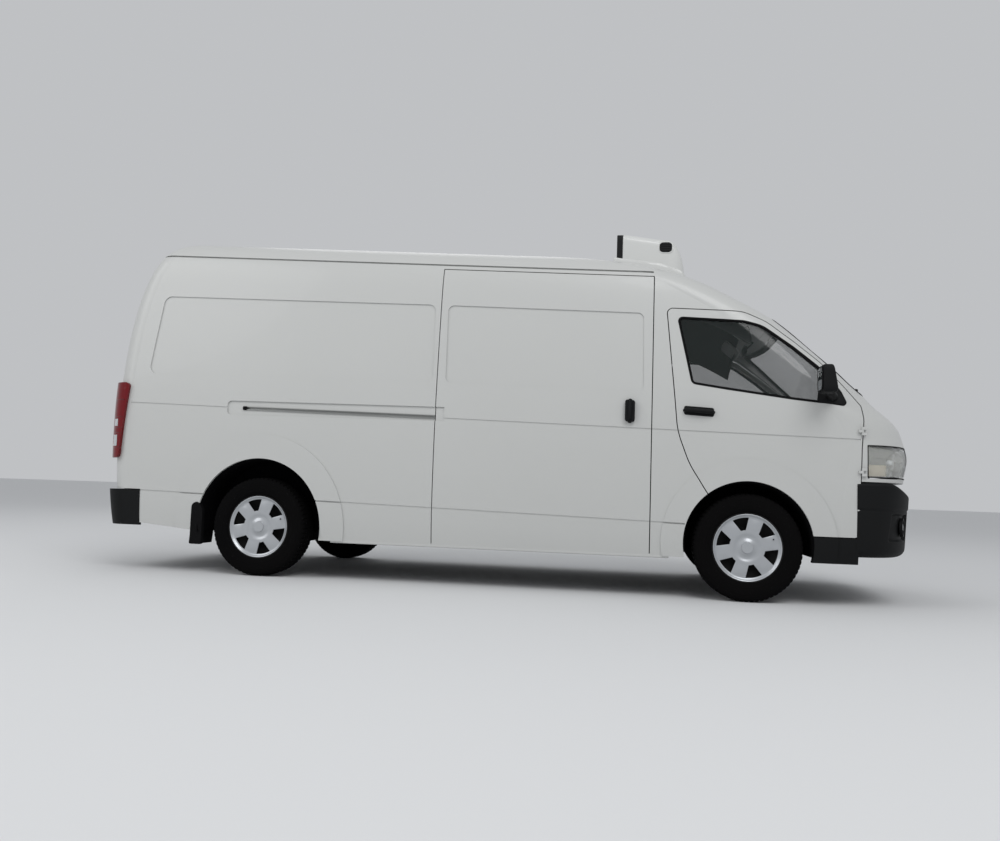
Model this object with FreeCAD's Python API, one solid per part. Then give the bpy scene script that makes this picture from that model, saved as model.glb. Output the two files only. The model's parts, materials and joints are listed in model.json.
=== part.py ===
"""A long-wheelbase high-roof refrigerated panel van, built as the real one is put together.

X runs forward, Y to the van's left, Z up. The origin is on the ground under the middle of the overall length.
Body panels are cut from one curved body skin. Running gear and fittings are sketched, padded, revolved or primitive.
"""
import FreeCAD, Part
import math
import os
import Sketcher

V = FreeCAD.Vector

SIZES = {
    # whole vehicle
    "body_length": 5380.0,
    "body_width": 1880.0,
    "roof_height": 2268.0,
    "wheel_track": 1650.0,
    # body shell
    "cab_wall": 45.0,
    "box_wall": 70.0,
    "shut_gap": 6.0,
    "seat_gap": 0.3,
    "overrun": 400.0,
    "nose_corner_depth": 450.0,
    "tail_corner_depth": 220.0,
    "front_arch_radius": 378.0,
    "rear_arch_radius": 430.0,
    "arch_centre_height": 340.0,
    "arch_reach": 330.0,
    "house_wall": 8.0,
    # front doors
    "rebate_depth": 12.0,
    "rebate_width": 10.0,
    "glass_inset": 6.0,
    "glass_thickness": 5.0,
    # sliding door
    "seal_depth": 30.0,
    "rail_depth": 24.0,
    "rail_lip": 3.0,
    "rail_groove": 10.0,
    # bulkhead and floors
    "bulkhead_thickness": 56.0,
    "floor_top": 620.0,
    "floor_thickness": 80.0,
    "box_house_top": 800.0,
    "box_house_inner_y": 620.0,
    "box_house_wall": 30.0,
    "footwell_top": 440.0,
    "cab_floor_thickness": 35.0,
    "trim_gap": 7.0,
    # windscreen
    # bonnet, grille, lamps
    "bonnet_half": 660.0,
    "bonnet_hinge_y": 200.0,
    "grille_inset": 6.0,
    "grille_depth": 34.0,
    "grille_border": 20.0,
    "bar_height": 16.0,
    # bumpers
    "bumper_nose_proud": 60.5,
    "bumper_tail_proud": 52.0,
    "bumper_side_proud": 4.0,
    "bumper_inner": 20.0,
    # tail
    "gate_half": 738.0,
    "gate_corner": 60.0,
    "gate_hinge_y": 260.0,
    "gate_glass_half": 600.0,
    "tail_lamp_inner_y": 762.0,
    # hinges
    "hinge_radius": 6.0,
    "hinge_standoff": 9.0,
    "hinge_knuckle": 16.0,
    "hinge_leaf": 22.0,
    "hinge_sink": 20.0,
    "hinge_play": 0.3,
    # refrigeration unit
    "unit_half": 500.0,
    "unit_base_lip": 20.0,
    "unit_slope": 60.0,
    "fan_radius": 62.0,
    "fan_hub_radius": 20.0,
    "fan_y": 245.0,
    "fan_pocket": 80.0,
    "fan_tip_gap": 6.0,
    "fan_blade_thickness": 3.0,
    "fan_hub_length": 30.0,
    "fan_shaft_radius": 6.0,
    # wheels
    "tyre_radius": 322.0,
    "tyre_width": 195.0,
    "tyre_shoulder": 28.0,
    "tyre_bead": 22.0,
    "rim_radius": 208.0,
    "rim_width": 170.0,
    "rim_wall": 9.0,
    "rim_well": 22.0,
    "disc_offset": 40.0,
    "disc_thickness": 12.0,
    "disc_dish": 24.0,
    "hub_radius": 60.0,
    "hub_bore": 24.0,
    "hub_length": 70.0,
    "running_play": 0.08,
    "cap_radius": 34.0,
    "cap_length": 14.0,
    # running gear
    "rail_half": 400.0,
    "rail_width": 60.0,
    "rail_top": 540.0,
    "chassis_rail_depth": 110.0,
    "rail_kick_length": 150.0,
    "cross_width": 90.0,
    "cross_depth": 70.0,
    "front_cross_bottom": 240.0,
    "front_cross_depth": 70.0,
    "front_cross_width": 160.0,
    "kingpin_y": 752.0,
    "kingpin_radius": 20.0,
    "kingpin_bottom": 236.0,
    "kingpin_top": 430.0,
    "knuckle_radius": 40.0,
    "arm_thickness": 24.0,
    "arm_width": 90.0,
    "axle_radius": 45.0,
    "axle_half": 730.0,
    "diff_radius": 135.0,
    "leaf_half": 610.0,
    "leaf_width": 70.0,
    "leaf_thickness": 38.0,
    "hitch_hole_radius": 6.5,
    "hitch_spacing_y": 320.0,
    "hitch_spacing_z": 36.0,
    "engine_half": 280.0,
    "engine_bottom": 310.0,
    "engine_top": 700.0,
    "tank_inner_y": 470.0,
    "tank_outer_y": 800.0,
    "tank_bottom": 310.0,
    "tank_corner": 40.0,
    "exhaust_radius": 26.0,
    "exhaust_y": -190.0,
    "exhaust_height": 395.0,
    "muffler_radius": 85.0,
    "outlet_y": -815.0,
    # cab inside
    "dash_half": 795.0,
    "wheel_y": 420.0,
    "steering_radius": 195.0,
    "steering_rim": 14.0,
    "column_radius": 34.0,
    "column_gap": 55.0,
    "column_length": 260.0,
    "steering_shaft_radius": 12.0,
    "steering_shaft_length": 110.0,
    "steering_tilt": 40.0,
    "seat_cushion": 150.0,
    "seat_length": 500.0,
    "seat_back_height": 640.0,
    "seat_back_thickness": 130.0,
    "driver_inner_y": 160.0,
    "driver_outer_y": 700.0,
    "bench_outer_y": -740.0,
    "bench_inner_y": 60.0,
    # mirrors and handles
    "mirror_tall": 220.0,
    "mirror_wide": 150.0,
    "mirror_deep": 80.0,
    "mirror_out": 70.0,
    "mirror_arm": 30.0,
    "handle_proud": 28.0,
    # swages, recesses and flares
    "recess_depth": 7.0,
    "crease_depth": 4.0,
    "crease_height": 9.0,
    "flare_proud": 7.0,
    "front_flare_radius": 510.0,
    "rear_flare_radius": 590.0,
    "skin_overlap": 20.0,
    "gutter_depth": 12.0,
    "gutter_height": 13.0,
    "roof_rib_proud": 7.0,
    "roof_rib_width": 70.0,
    "roof_rib_spacing": 230.0,
    "slide_drop": 28.0,
    "rail_recess_depth": 10.0,
    "lamp_proud": 22.0,
    "intake_depth": 45.0,
    "intake_bar": 14.0,
    "fog_radius": 58.0,
    "floor_panel": 6.0,
    "floor_panel_half": 595.0,
    "jacking_pad": 8.0,
    "bonnet_wall": 25.0,
    "loose_gap": 0.6,
}

# Places along the body, as shares of half its length
ALONG = {
    "front_axle_x": 0.605948,
    "rear_axle_x": -0.550186,
    "rake_centre_x": -0.223048,
    "door_hinge_x": 0.84461,
    "slide_back_x": -0.113383,
    "slide_front_x": 0.391078,
    "bulkhead_front_x": 0.405204,
    "seat_floor_front_x": 0.754647,
    "toe_x": 0.832714,
    "firewall_x": 0.866171,
    "lamp_back_x": 0.855762,
    "rear_bumper_x": -0.866914,
    "gate_front_x": -0.743494,
    "unit_back_x": 0.297398,
    "unit_front_x": 0.464684,
    "rail_rear_x": -0.907063,
    "rail_kick_x": 0.682156,
    "rail_front_x": 0.944238,
    "engine_back_x": 0.438662,
    "engine_front_x": 0.687732,
    "tank_back_x": -0.260223,
    "tank_front_x": 0.022305,
    "muffler_back_x": -0.193309,
    "muffler_front_x": 0.02974,
    "outlet_x": -0.237918,
    "dash_back_x": 0.754647,
    "steering_x": 0.715613,
    "seat_front_x": 0.639405,
    "mirror_x": 0.758364,
    "rib_back_x": -0.825279,
    "rib_front_x": 0.156134,
    "floor_panel_back_x": -0.873606,
    "floor_panel_front_x": 0.371747,
    "jack_back_x": -0.16729,
    "jack_front_x": -0.055762,
}

# Heights, as shares of the roof height
UP = {
    "sill_height": 0.110229,
    "door_hinge_low": 0.348325,
    "door_hinge_high": 0.454145,
    "slide_bottom_height": 0.112875,
    "firewall_top": 0.520282,
    "screen_bottom": 0.562169,
    "screen_top": 0.7694,
    "front_panel_bottom": 0.324074,
    "bonnet_bottom": 0.434303,
    "bonnet_top": 0.540123,
    "grille_bottom": 0.337302,
    "grille_top": 0.421076,
    "front_bumper_bottom": 0.127866,
    "rear_bumper_bottom": 0.132275,
    "rear_bumper_top": 0.236332,
    "gate_bottom": 0.241623,
    "gate_top": 0.967813,
    "gate_glass_bottom": 0.58642,
    "gate_glass_top": 0.837743,
    "unit_base_top": 0.984127,
    "unit_top": 1.051587,
    "dash_bottom": 0.410053,
    "dash_top": 0.540123,
    "steering_height": 0.520282,
    "mirror_height": 0.573192,
    "mirror_arm_height": 0.540564,
}

doc = FreeCAD.newDocument("van")
sheet = doc.addObject("Spreadsheet::Sheet", "sizes")
ROWS = dict(SIZES)
ROWS.update({alias: f"={share} * body_length / 2" for alias, share in ALONG.items()})
ROWS.update({alias: f"={share} * roof_height" for alias, share in UP.items()})
for row, (alias, value) in enumerate(ROWS.items(), start=1):
    sheet.set(f"A{row}", alias)
    sheet.set(f"B{row}", str(value))
    sheet.setAlias(f"B{row}", alias)
doc.recompute()


class Sheet:
    """Reads a length from the spreadsheet by its alias, as an attribute."""

    def __getattr__(self, alias):
        return float(sheet.get(alias))


s = Sheet()
FRONT_AXLE_X = s.front_axle_x
REAR_AXLE_X = s.rear_axle_x
HALF_LENGTH = s.body_length / 2
HALF_WIDTH = s.body_width / 2

# Body profile: (height as a share of the roof height, reach as a share of half the body's length or width).
FRONT_SHARES = [
    (0.110, 0.965), (0.265, 0.972), (0.329, 0.978), (0.397, 0.985), (0.428, 0.9783), (0.459, 0.972),
    (0.498, 0.9432), (0.556, 0.8957), (0.617, 0.8472), (0.683, 0.7855), (0.744, 0.728), (0.794, 0.6658),
    (0.838, 0.6013), (0.873, 0.5468), (0.9057, 0.480), (0.9325, 0.398), (0.9546, 0.297), (0.9722, 0.178),
    (0.98651, 0.019),
]
REAR_SHARES = [
    (0.110, 0.967), (0.243, 0.981), (0.397, 0.987), (0.573, 0.985), (0.683, 0.977), (0.794, 0.960),
    (0.882, 0.935), (0.935, 0.911), (0.970, 0.883), (0.990, 0.844), (1.0, 0.773),
]
SIDE_SHARES = [
    (0.110, 0.963), (0.198, 0.989), (0.331, 1.0), (0.485, 0.996), (0.617, 0.977), (0.750, 0.950),
    (0.838, 0.928), (0.891, 0.906), (0.926, 0.874), (0.957, 0.811), (0.977, 0.723), (0.990, 0.606),
    (1.0, 0.404),
]
LEVEL_SHARES = [
    0.0, 0.075, 0.17, 0.245, 0.30, 0.335, 0.36, 0.395, 0.44, 0.50, 0.57, 0.645, 0.72, 0.77, 0.82,
    0.86, 0.895, 0.925, 0.95, 0.968, 0.982, 0.992, 1.0,
]
NOSE_SQUARENESS = 3.0
GRILLE_BARS = 5
BONNET_SLOPE = 44.0
BLADE_PITCH = 35.0
BLADE_COUNT = 7
TAIL_SQUARENESS = 3.0
ROOF_FALL = 0.047
SETTLE_STEPS = 5
ARC_STEPS = 6
PROFILE_STEPS = 400


def profile(shares, reach, sign):
    """A smooth side or end profile as (reach, height, outward x, outward z) samples."""
    curve = Part.BSplineCurve()
    curve.interpolate([V(sign * out * reach, 0, up * s.roof_height) for up, out in shares])
    first, last = curve.FirstParameter, curve.LastParameter
    samples = []
    for step in range(PROFILE_STEPS + 1):
        at = first + (last - first) * step / PROFILE_STEPS
        point = curve.value(at)
        along = curve.tangent(at)[0]
        samples.append((point.x, point.z, sign * along.z, -sign * along.x))
    return samples


def level_height(x, z):
    """The height before the body's rake of a point at a height on the raked body."""
    rise = s.roof_height - s.sill_height
    return s.sill_height + (z - s.sill_height) * rise / (rise - ROOF_FALL * (x - s.rake_centre_x))


def raked(x, y, height):
    """A point of the body with the fall towards the nose that grows from none at the sill to most at the roof."""
    share = (height - s.sill_height) / (s.roof_height - s.sill_height)
    return V(x, y, height - share * ROOF_FALL * (x - s.rake_centre_x))


FRONT_LEVELS = [(level_height(out * HALF_LENGTH, up * s.roof_height) / s.roof_height, out) for up, out in FRONT_SHARES]
FRONT = profile(FRONT_LEVELS, HALF_LENGTH, 1)
REAR = profile(REAR_SHARES, HALF_LENGTH, -1)
SIDE = profile(SIDE_SHARES, HALF_WIDTH, 1)


def offset_profile(samples, inset):
    """The profile moved inwards by inset along its own normals, as (reach, height) pairs."""
    return [(x - inset * nx, z - inset * nz) for x, z, nx, nz in samples]


def reach_at(pairs, height):
    """The profile's reach at a height, between its samples."""
    for (x0, z0), (x1, z1) in zip(pairs, pairs[1:]):
        if z0 <= height <= z1 and z1 > z0:
            return x0 + (x1 - x0) * (height - z0) / (z1 - z0)
    return pairs[0][0] if height < pairs[0][1] else pairs[-1][0]


def end_point(straight_x, tip_x, half_width, squareness, share):
    """A point of a bowed end in plan: share runs from -1 on one side of the body to 1 on the other."""
    across = abs(math.sin(share * math.pi / 2))
    ahead = 0.0 if abs(share) == 1 else math.cos(share * math.pi / 2)
    scale = (across ** squareness + ahead ** squareness) ** (-1 / squareness)
    y = math.copysign(half_width * across * scale, share)
    return straight_x + (tip_x - straight_x) * ahead * scale, y


def through(points, parameters):
    """A cubic curve through points at set parameters."""
    curve = Part.BSplineCurve()
    curve.interpolate(Points=points, Parameters=parameters)
    return curve


def spans(points):
    """Parameters for a run of points, in step with the distance along it."""
    at = [0.0]
    for a, b in zip(points, points[1:]):
        at.append(at[-1] + a.distanceToPoint(b))
    return [value / at[-1] for value in at]


def surface_through(rows, row_parameters, level_parameters):
    """A surface through rows of points, one row for each level."""
    across = [through(row, row_parameters) for row in rows]
    upward = [through(list(column), level_parameters) for column in zip(*(c.getPoles() for c in across))]
    surface = Part.BSplineSurface()
    surface.buildFromPolesMultsKnots(
        [curve.getPoles() for curve in upward],
        across[0].getMultiplicities(), upward[0].getMultiplicities(),
        across[0].getKnots(), upward[0].getKnots(), False, False, across[0].Degree, upward[0].Degree,
    )
    return surface


def end_rows(levels, corner_depth, squareness):
    """Rows of points over a bowed end of the body, one for each (height, tip, half width)."""
    rows = []
    for height, tip_x, half_width in levels:
        row = []
        for step in range(-ARC_STEPS, ARC_STEPS + 1):
            x, y = end_point(tip_x - corner_depth, tip_x, half_width, squareness, step / ARC_STEPS)
            row.append(raked(x, y, height))
        rows.append(row)
    return rows


def level_edge(start, end):
    """A straight edge between two points."""
    return Part.LineSegment(start, end).toShape()


def side_face(nose_column, tail_column, knots, mults, degree):
    """A side of the body, straight along its length between the two ends' last columns of poles."""
    surface = Part.BSplineSurface()
    surface.buildFromPolesMultsKnots([nose_column, tail_column], [2, 2], mults, [0.0, 1.0], knots,
                                     False, False, 1, degree)
    return surface.toShape()


def level_spans():
    """One set of upward parameters for every surface of the body, in step with the nose's own profile."""
    pairs = offset_profile(FRONT, 0)
    points = []
    for share in LEVEL_SHARES:
        height = s.sill_height + share * (s.roof_height - s.sill_height)
        points.append(V(reach_at(pairs, height), 0, height))
    return spans(points)


LEVEL_SPANS = level_spans()
skins = {}


def skin(inset, tail_inset=None, side_inset=None):
    """The body as one closed solid, moved inwards from the outer surface: all round, or nose, tail and sides."""
    insets = (inset, inset if tail_inset is None else tail_inset, inset if side_inset is None else side_inset)
    if insets not in skins:
        front, rear, side = map(offset_profile, (FRONT, REAR, SIDE), insets)
        top = min(front[-1][1], rear[-1][1], side[-1][1])
        heights = [s.sill_height + share * (top - s.sill_height) for share in LEVEL_SHARES]
        ends = []
        for reach, depth, squareness in ((front, s.nose_corner_depth, NOSE_SQUARENESS),
                                         (rear, -s.tail_corner_depth, TAIL_SQUARENESS)):
            rows = end_rows([(z, reach_at(reach, z), reach_at(side, z)) for z in heights], depth, squareness)
            ends.append(surface_through(rows, spans(rows[0]), LEVEL_SPANS))
        nose, tail = ends
        faces = [nose.toShape(), tail.toShape()]
        for column in (0, -1):
            faces.append(side_face(nose.getPoles()[column], tail.getPoles()[column],
                                   nose.getVKnots(), nose.getVMultiplicities(), nose.VDegree))
        for level in (0.0, 1.0):
            bows = [surface.vIso(level) for surface in ends]
            corners = [[bow.value(bow.FirstParameter), bow.value(bow.LastParameter)] for bow in bows]
            loop = [bows[0].toShape(), level_edge(corners[0][1], corners[1][1]),
                    bows[1].toShape(), level_edge(corners[1][0], corners[0][0])]
            faces.append(Part.Face(Part.Wire(Part.__sortEdges__(loop))))
        shell = Part.makeShell(faces)
        shell.sewShape()
        solid = Part.makeSolid(Part.Shell(shell.Faces))
        if solid.Volume < 0:
            solid.reverse()
        skins[insets] = solid
    return skins[insets]


def layer(outer_inset, inner_inset):
    """The body wall between two depths under the outer surface."""
    return skin(outer_inset).cut(skin(inner_inset))


def box(x0, x1, y0, y1, z0, z1):
    """A box from its lowest to its highest corner."""
    return Part.makeBox(x1 - x0, y1 - y0, z1 - z0, V(x0, y0, z0))


def cylinder(radius, start, end):
    """A cylinder between the centres of its two ends."""
    along = end - start
    return Part.makeCylinder(radius, along.Length, start, along)


def bent_wire(corners):
    """A closed outline through (point, radius) corners, with an arc at each rounded one."""
    bends = []
    for index, (corner, radius) in enumerate(corners):
        back = V(corners[index - 1][0] - corner).normalize()
        on = V(corners[(index + 1) % len(corners)][0] - corner).normalize()
        if radius:
            half_angle = back.getAngle(on) / 2
            cut = radius / math.tan(half_angle)
            lift = radius / math.sin(half_angle) - radius
            bends.append((corner + back * cut, corner + V(back + on).normalize() * lift, corner + on * cut))
        else:
            bends.append((corner, None, corner))
    edges = []
    for (start, middle, end), following in zip(bends, bends[1:] + bends[:1]):
        if middle is not None:
            edges.append(Part.Arc(start, middle, end).toShape())
        edges.append(level_edge(end, following[0]))
    return Part.Wire(edges)


def drawn(points, place):
    """The wire of an outline of (a, b) or (a, b, corner radius) points, each set in space by place(a, b)."""
    return bent_wire([(place(*point[:2]), point[2] if len(point) > 2 else 0.0) for point in points])


def side_prism(points, y0, y1, grow=0.0):
    """A prism along Y over a side-view outline of (x, z) points, grown outwards by grow."""
    wire = drawn(points, lambda x, z: V(x, y0, z))
    if grow:
        wire = wire.makeOffset2D(grow)
    return Part.Face(wire).extrude(V(0, y1 - y0, 0))


def end_prism(points, x0, x1, grow=0.0):
    """A prism along X over an end-view outline of (y, z) points, grown outwards by grow."""
    wire = drawn(points, lambda y, z: V(x0, y, z))
    if grow:
        wire = wire.makeOffset2D(grow)
    return Part.Face(wire).extrude(V(x1 - x0, 0, 0))


def rectangle(a0, a1, b0, b1, corner=0.0):
    """The four corners of a rectangle, in order, with their radius."""
    return [(a0, b0, corner), (a1, b0, corner), (a1, b1, corner), (a0, b1, corner)]


def rounded(prism, radius, direction):
    """Rounds the prism's straight edges that run along a direction."""
    edges = [e for e in prism.Edges
             if e.Curve.TypeId == "Part::GeomLine" and abs(e.Curve.Direction.dot(direction)) > 1 - s.hinge_play]
    return prism.makeFillet(radius, edges)


def mirrored(shape):
    """The same shape on the van's other side."""
    return shape.mirror(V(0, 0, 0), V(0, 1, 0))


def scaled(shares):
    """An outline given in shares of half the body's length and of the roof's height, with its corner radii."""
    return [(x * HALF_LENGTH, z * s.roof_height, radius) for x, z, radius in shares]


pieces = {}


def node(name, shape):
    """Adds a sub-part whose shape is worked out from the sheet's sizes."""
    feature = doc.addObject("Part::Feature", name)
    feature.Label = name
    feature.Shape = shape
    pieces[name] = feature
    return feature


# Outlines in shares of (half the body's length, the roof's height), seen from the right, with corner radii.
FRONT_DOOR_SHARES = [
    (0.4230, 0.7844, 30.0), (0.5948, 0.7747, 200.0), (0.6450, 0.7496, 200.0), (0.7082, 0.6931, 0.0),
    (0.7658, 0.6371, 400.0), (0.8234, 0.5564, 250.0), (0.8454, 0.5225, 0.0), (0.8483, 0.4850, 110.0),
    (0.8431, 0.4101, 300.0), (0.8375, 0.1795, 25.0), (0.6320, 0.1795, 0.0), (0.5353, 0.2513, 0.0),
    (0.5141, 0.2897, 0.0), (0.4777, 0.3593, 500.0), (0.4509, 0.4453, 500.0), (0.4446, 0.5291, 300.0),
]
DOOR_WINDOW_SHARES = [
    (0.4461, 0.7606, 25.0), (0.5948, 0.7500, 200.0), (0.6364, 0.7372, 200.0), (0.7037, 0.6803, 300.0),
    (0.7639, 0.6208, 300.0), (0.8030, 0.5608, 120.0), (0.8141, 0.5291, 14.0), (0.8082, 0.5207, 12.0),
    (0.7007, 0.5353, 0.0), (0.5569, 0.5600, 0.0), (0.4803, 0.5745, 35.0),
]
ROOF_EDGE_SHARES = [
    (-1.5000, 0.9899, 0.0), (0.3903, 0.8898, 0.0), (0.5279, 0.8488, 0.0), (0.5948, 0.8091, 0.0),
    (0.6320, 0.7848, 0.0), (0.6654, 0.7694, 0.0),
]
REAR_RECESS_SHARES = [
    (-0.8439, 0.8258, 55.0), (-0.1283, 0.7963, 45.0), (-0.1245, 0.5688, 45.0), (-0.8662, 0.5855, 55.0),
]
MIDDLE_RECESS_SHARES = [
    (-0.0974, 0.7950, 40.0), (0.3699, 0.7716, 40.0), (0.3729, 0.5511, 40.0), (-0.0937, 0.5679, 40.0),
]
RAIL_RECESS_SHARES = [
    (-0.6450, 0.5071, 30.0), (-0.0929, 0.4987, 0.0), (-0.0929, 0.4590, 0.0), (-0.6450, 0.4652, 30.0),
]
RAIL_SHARES = [
    (-0.5985, 0.4907, 0.0), (-0.1156, 0.4753, 0.0), (-0.1156, 0.4647, 0.0), (-0.5985, 0.4802, 0.0),
]
HANDLE_SHARES = [
    (0.4628, 0.5137, 14.0), (0.5271, 0.5026, 14.0), (0.5305, 0.4841, 10.0), (0.4628, 0.4934, 14.0),
]
SLIDE_HANDLE_SHARES = [
    (0.3316, 0.5273, 14.0), (0.3539, 0.5247, 14.0), (0.3539, 0.4665, 14.0), (0.3316, 0.4683, 14.0),
]
SILL_CUT_SHARES = [
    (-1.5000, 0.0000, 0.0), (-0.6989, 0.0000, 0.0), (-0.6989, 0.1217, 0.0), (-1.5000, 0.2081, 0.0),
]
FRONT_BUMPER_SHARES = [
    (0.7807, 0.1279, 0.0), (0.9572, 0.1279, 60.0), (1.0260, 0.1578, 0.0), (1.0260, 0.2822, 0.0),
    (0.9703, 0.3238, 60.0), (0.7807, 0.3238, 0.0),
]
TAIL_LAMP_SHARES = [
    (-1.5000, 0.3298, 0.0), (-0.9283, 0.3298, 28.0), (-0.9108, 0.5564, 28.0), (-1.5000, 0.5564, 0.0),
]
BELT_SHARES = [
    (-0.9071, 0.4943, 0.0), (0.8409, 0.4299, 0.0),
]
LOW_CREASE_SHARES = [
    (-0.9071, 0.2346, 0.0), (0.4691, 0.1966, 0.0),
]
GUTTER_SHARES = [
    (-0.8996, 0.9581, 0.0), (0.3903, 0.8898, 0.0),
]
# The same from ahead, in shares of (half the body's width, the roof's height).
GRILLE_SHARES = [(-0.4787, 0.3373, 20.0), (0.4787, 0.3373, 20.0), (0.6117, 0.4211, 20.0), (-0.6117, 0.4211, 20.0)]
LAMP_SHARES = [(0.5053, 0.3360, 25.0), (1.2766, 0.3307, 0.0), (1.2766, 0.4153, 0.0), (0.6404, 0.4189, 30.0)]
SCREEN_SHARES = [(-0.8404, 0.5622, 70.0), (0.8404, 0.5622, 70.0), (0.7819, 0.7694, 60.0), (-0.7819, 0.7694, 60.0)]
INTAKE_SHARES = [(-0.4255, 0.1455, 25.0), (0.4255, 0.1455, 25.0), (0.4681, 0.2072, 25.0), (-0.4681, 0.2072, 25.0)]
FOG_SHARES = (0.7340, 0.2116)
SAIL_SHARE = 0.7640
NOSE_INNER_SHARE = 0.7990
NOSE_LOW_SHARE = 0.8387

REACH_X = HALF_LENGTH + s.overrun
REACH_Y = HALF_WIDTH + s.overrun
REACH_Z = s.roof_height + s.overrun
FLOOR_UNDER = s.floor_top - s.floor_thickness
SEAT_FLOOR_UNDER = s.arch_centre_height + s.front_arch_radius + s.house_wall
SEAT_FLOOR_TOP = SEAT_FLOOR_UNDER + s.cab_floor_thickness
WHEEL_Y = s.wheel_track / 2
AXLE_Z = s.tyre_radius

DOOR = scaled(FRONT_DOOR_SHARES)
WINDOW = scaled(DOOR_WINDOW_SHARES)
DOOR_HOLES = Part.makeCompound([side_prism(DOOR, turn * HALF_WIDTH / 2, turn * REACH_Y, s.shut_gap)
                                for turn in (-1, 1)])


def across(shares, turn=1):
    """An end-view outline given in shares of half the body's width and of the roof's height."""
    return [(turn * y * HALF_WIDTH, z * s.roof_height, radius) for y, z, radius in shares]


def gutter_at(x):
    """The height of the line where the roof meets the sides."""
    (x0, z0, _), (x1, z1, _) = scaled(ROOF_EDGE_SHARES[:2])
    return z0 + (z1 - z0) * (x - x0) / (x1 - x0)


def wheel_arches(front_radius, rear_radius, inner_y, outer_y):
    """The four round spaces over the wheels, as one shape."""
    arches = []
    for x, radius in ((FRONT_AXLE_X, front_radius), (REAR_AXLE_X, rear_radius)):
        for turn in (-1, 1):
            arches.append(cylinder(radius, V(x, turn * inner_y, s.arch_centre_height),
                                   V(x, turn * outer_y, s.arch_centre_height)))
    return Part.makeCompound(arches)


def whole_shell():
    """The body wall: a thick insulated box behind the bulkhead and a thinner cab, open underneath."""
    box_void = skin(s.box_wall).common(box(-REACH_X, s.bulkhead_front_x, -REACH_Y, REACH_Y, 0, REACH_Z))
    cab_void = skin(s.cab_wall).common(box(s.bulkhead_front_x, REACH_X, -REACH_Y, REACH_Y, 0, REACH_Z))
    return skin(0.0).cut([box_void, cab_void])


ARCHES = wheel_arches(s.front_arch_radius, s.rear_arch_radius, HALF_WIDTH / 2, REACH_Y)


def arch_flares():
    """The raised bands round the four wheel arches, which overlap the body wall."""
    discs = [cylinder(radius, V(x, -REACH_Y, s.arch_centre_height), V(x, REACH_Y, s.arch_centre_height))
             for x, radius in ((FRONT_AXLE_X, s.front_flare_radius), (REAR_AXLE_X, s.rear_flare_radius))]
    return skin(-s.flare_proud).common(Part.makeCompound(discs)).cut([skin(s.skin_overlap), ARCHES])


def band(shares, height):
    """A narrow strip along a line of the body's sides, from below the line to height above it."""
    (x0, z0, _), (x1, z1, _) = scaled(shares)
    return side_prism([(x0, z0), (x1, z1), (x1, z1 + height), (x0, z0 + height)], -REACH_Y, REACH_Y)


def pressings():
    """What is pressed into the body's sides: the blank panels, two creases, the roof's gutter and the rail's place."""
    panels = [side_prism(scaled(shares), -REACH_Y, REACH_Y) for shares in (REAR_RECESS_SHARES, MIDDLE_RECESS_SHARES)]
    creases = [band(shares, s.crease_height) for shares in (BELT_SHARES, LOW_CREASE_SHARES)]
    return [Part.makeCompound(panels).cut(skin(s.recess_depth)),
            Part.makeCompound(creases).cut(skin(s.crease_depth)),
            band(GUTTER_SHARES, s.gutter_height).cut(skin(s.gutter_depth)),
            side_prism(scaled(RAIL_RECESS_SHARES), -REACH_Y, 0).cut(skin(s.rail_recess_depth))]


SHELL = whole_shell().fuse(arch_flares()).cut(pressings())

ROOF_REGION = side_prism(scaled(ROOF_EDGE_SHARES) + [(REACH_X, s.screen_top), (REACH_X, REACH_Z), (-REACH_X, REACH_Z)],
                         -REACH_Y, REACH_Y)
DOOR_LOW = min(z for _, z, _ in DOOR) - s.shut_gap / 2
NOSE_LOW_X = NOSE_LOW_SHARE * HALF_LENGTH
NOSE_INNER_X = NOSE_INNER_SHARE * HALF_LENGTH
NOSE_REGION = side_prism([(NOSE_LOW_X, 0), (NOSE_LOW_X, DOOR_LOW), (NOSE_INNER_X, DOOR_LOW), (NOSE_INNER_X, s.screen_bottom),
                          (REACH_X, s.screen_bottom), (REACH_X, 0)], -REACH_Y, REACH_Y).cut(DOOR_HOLES)
SCREEN_REGION = end_prism(across(SCREEN_SHARES), 0, REACH_X)
GATE_OUTLINE = rectangle(-s.gate_half, s.gate_half, s.gate_bottom, s.gate_top, s.gate_corner)
GATE_HOLE = end_prism(GATE_OUTLINE, -REACH_X, s.gate_front_x, s.shut_gap)
SLIDE_TOPS = [(x, gutter_at(x) - s.slide_drop) for x in (s.slide_front_x, s.slide_back_x)]
SLIDE_OUTLINE = [(s.slide_back_x, s.slide_bottom_height), (s.slide_front_x, s.slide_bottom_height)] + SLIDE_TOPS
SLIDE_HOLE = side_prism([(s.slide_back_x, 0), (s.slide_front_x, 0)] + SLIDE_TOPS, -REACH_Y, 0, s.shut_gap)
REAR_BUMPER_REGION = box(-REACH_X, s.rear_bumper_x, -REACH_Y, REACH_Y, 0, s.rear_bumper_top + s.shut_gap)
SILL_CUT = side_prism(scaled(SILL_CUT_SHARES), -REACH_Y, REACH_Y)


def tail_lamp_region():
    """The two upright lamps' places at the tail's corners, outside the tailgate."""
    outline = scaled(TAIL_LAMP_SHARES)
    strips = [side_prism(outline, turn * s.tail_lamp_inner_y, turn * REACH_Y) for turn in (-1, 1)]
    return Part.makeCompound(strips)


TAIL_LAMPS = tail_lamp_region()


side_shells = {}


def side_rest(turn):
    """One side of the body: pillars, sill and quarter panel, with the openings cut."""
    if turn not in side_shells:
        side_shells[turn] = cut_side(turn)
    return side_shells[turn]


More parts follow.
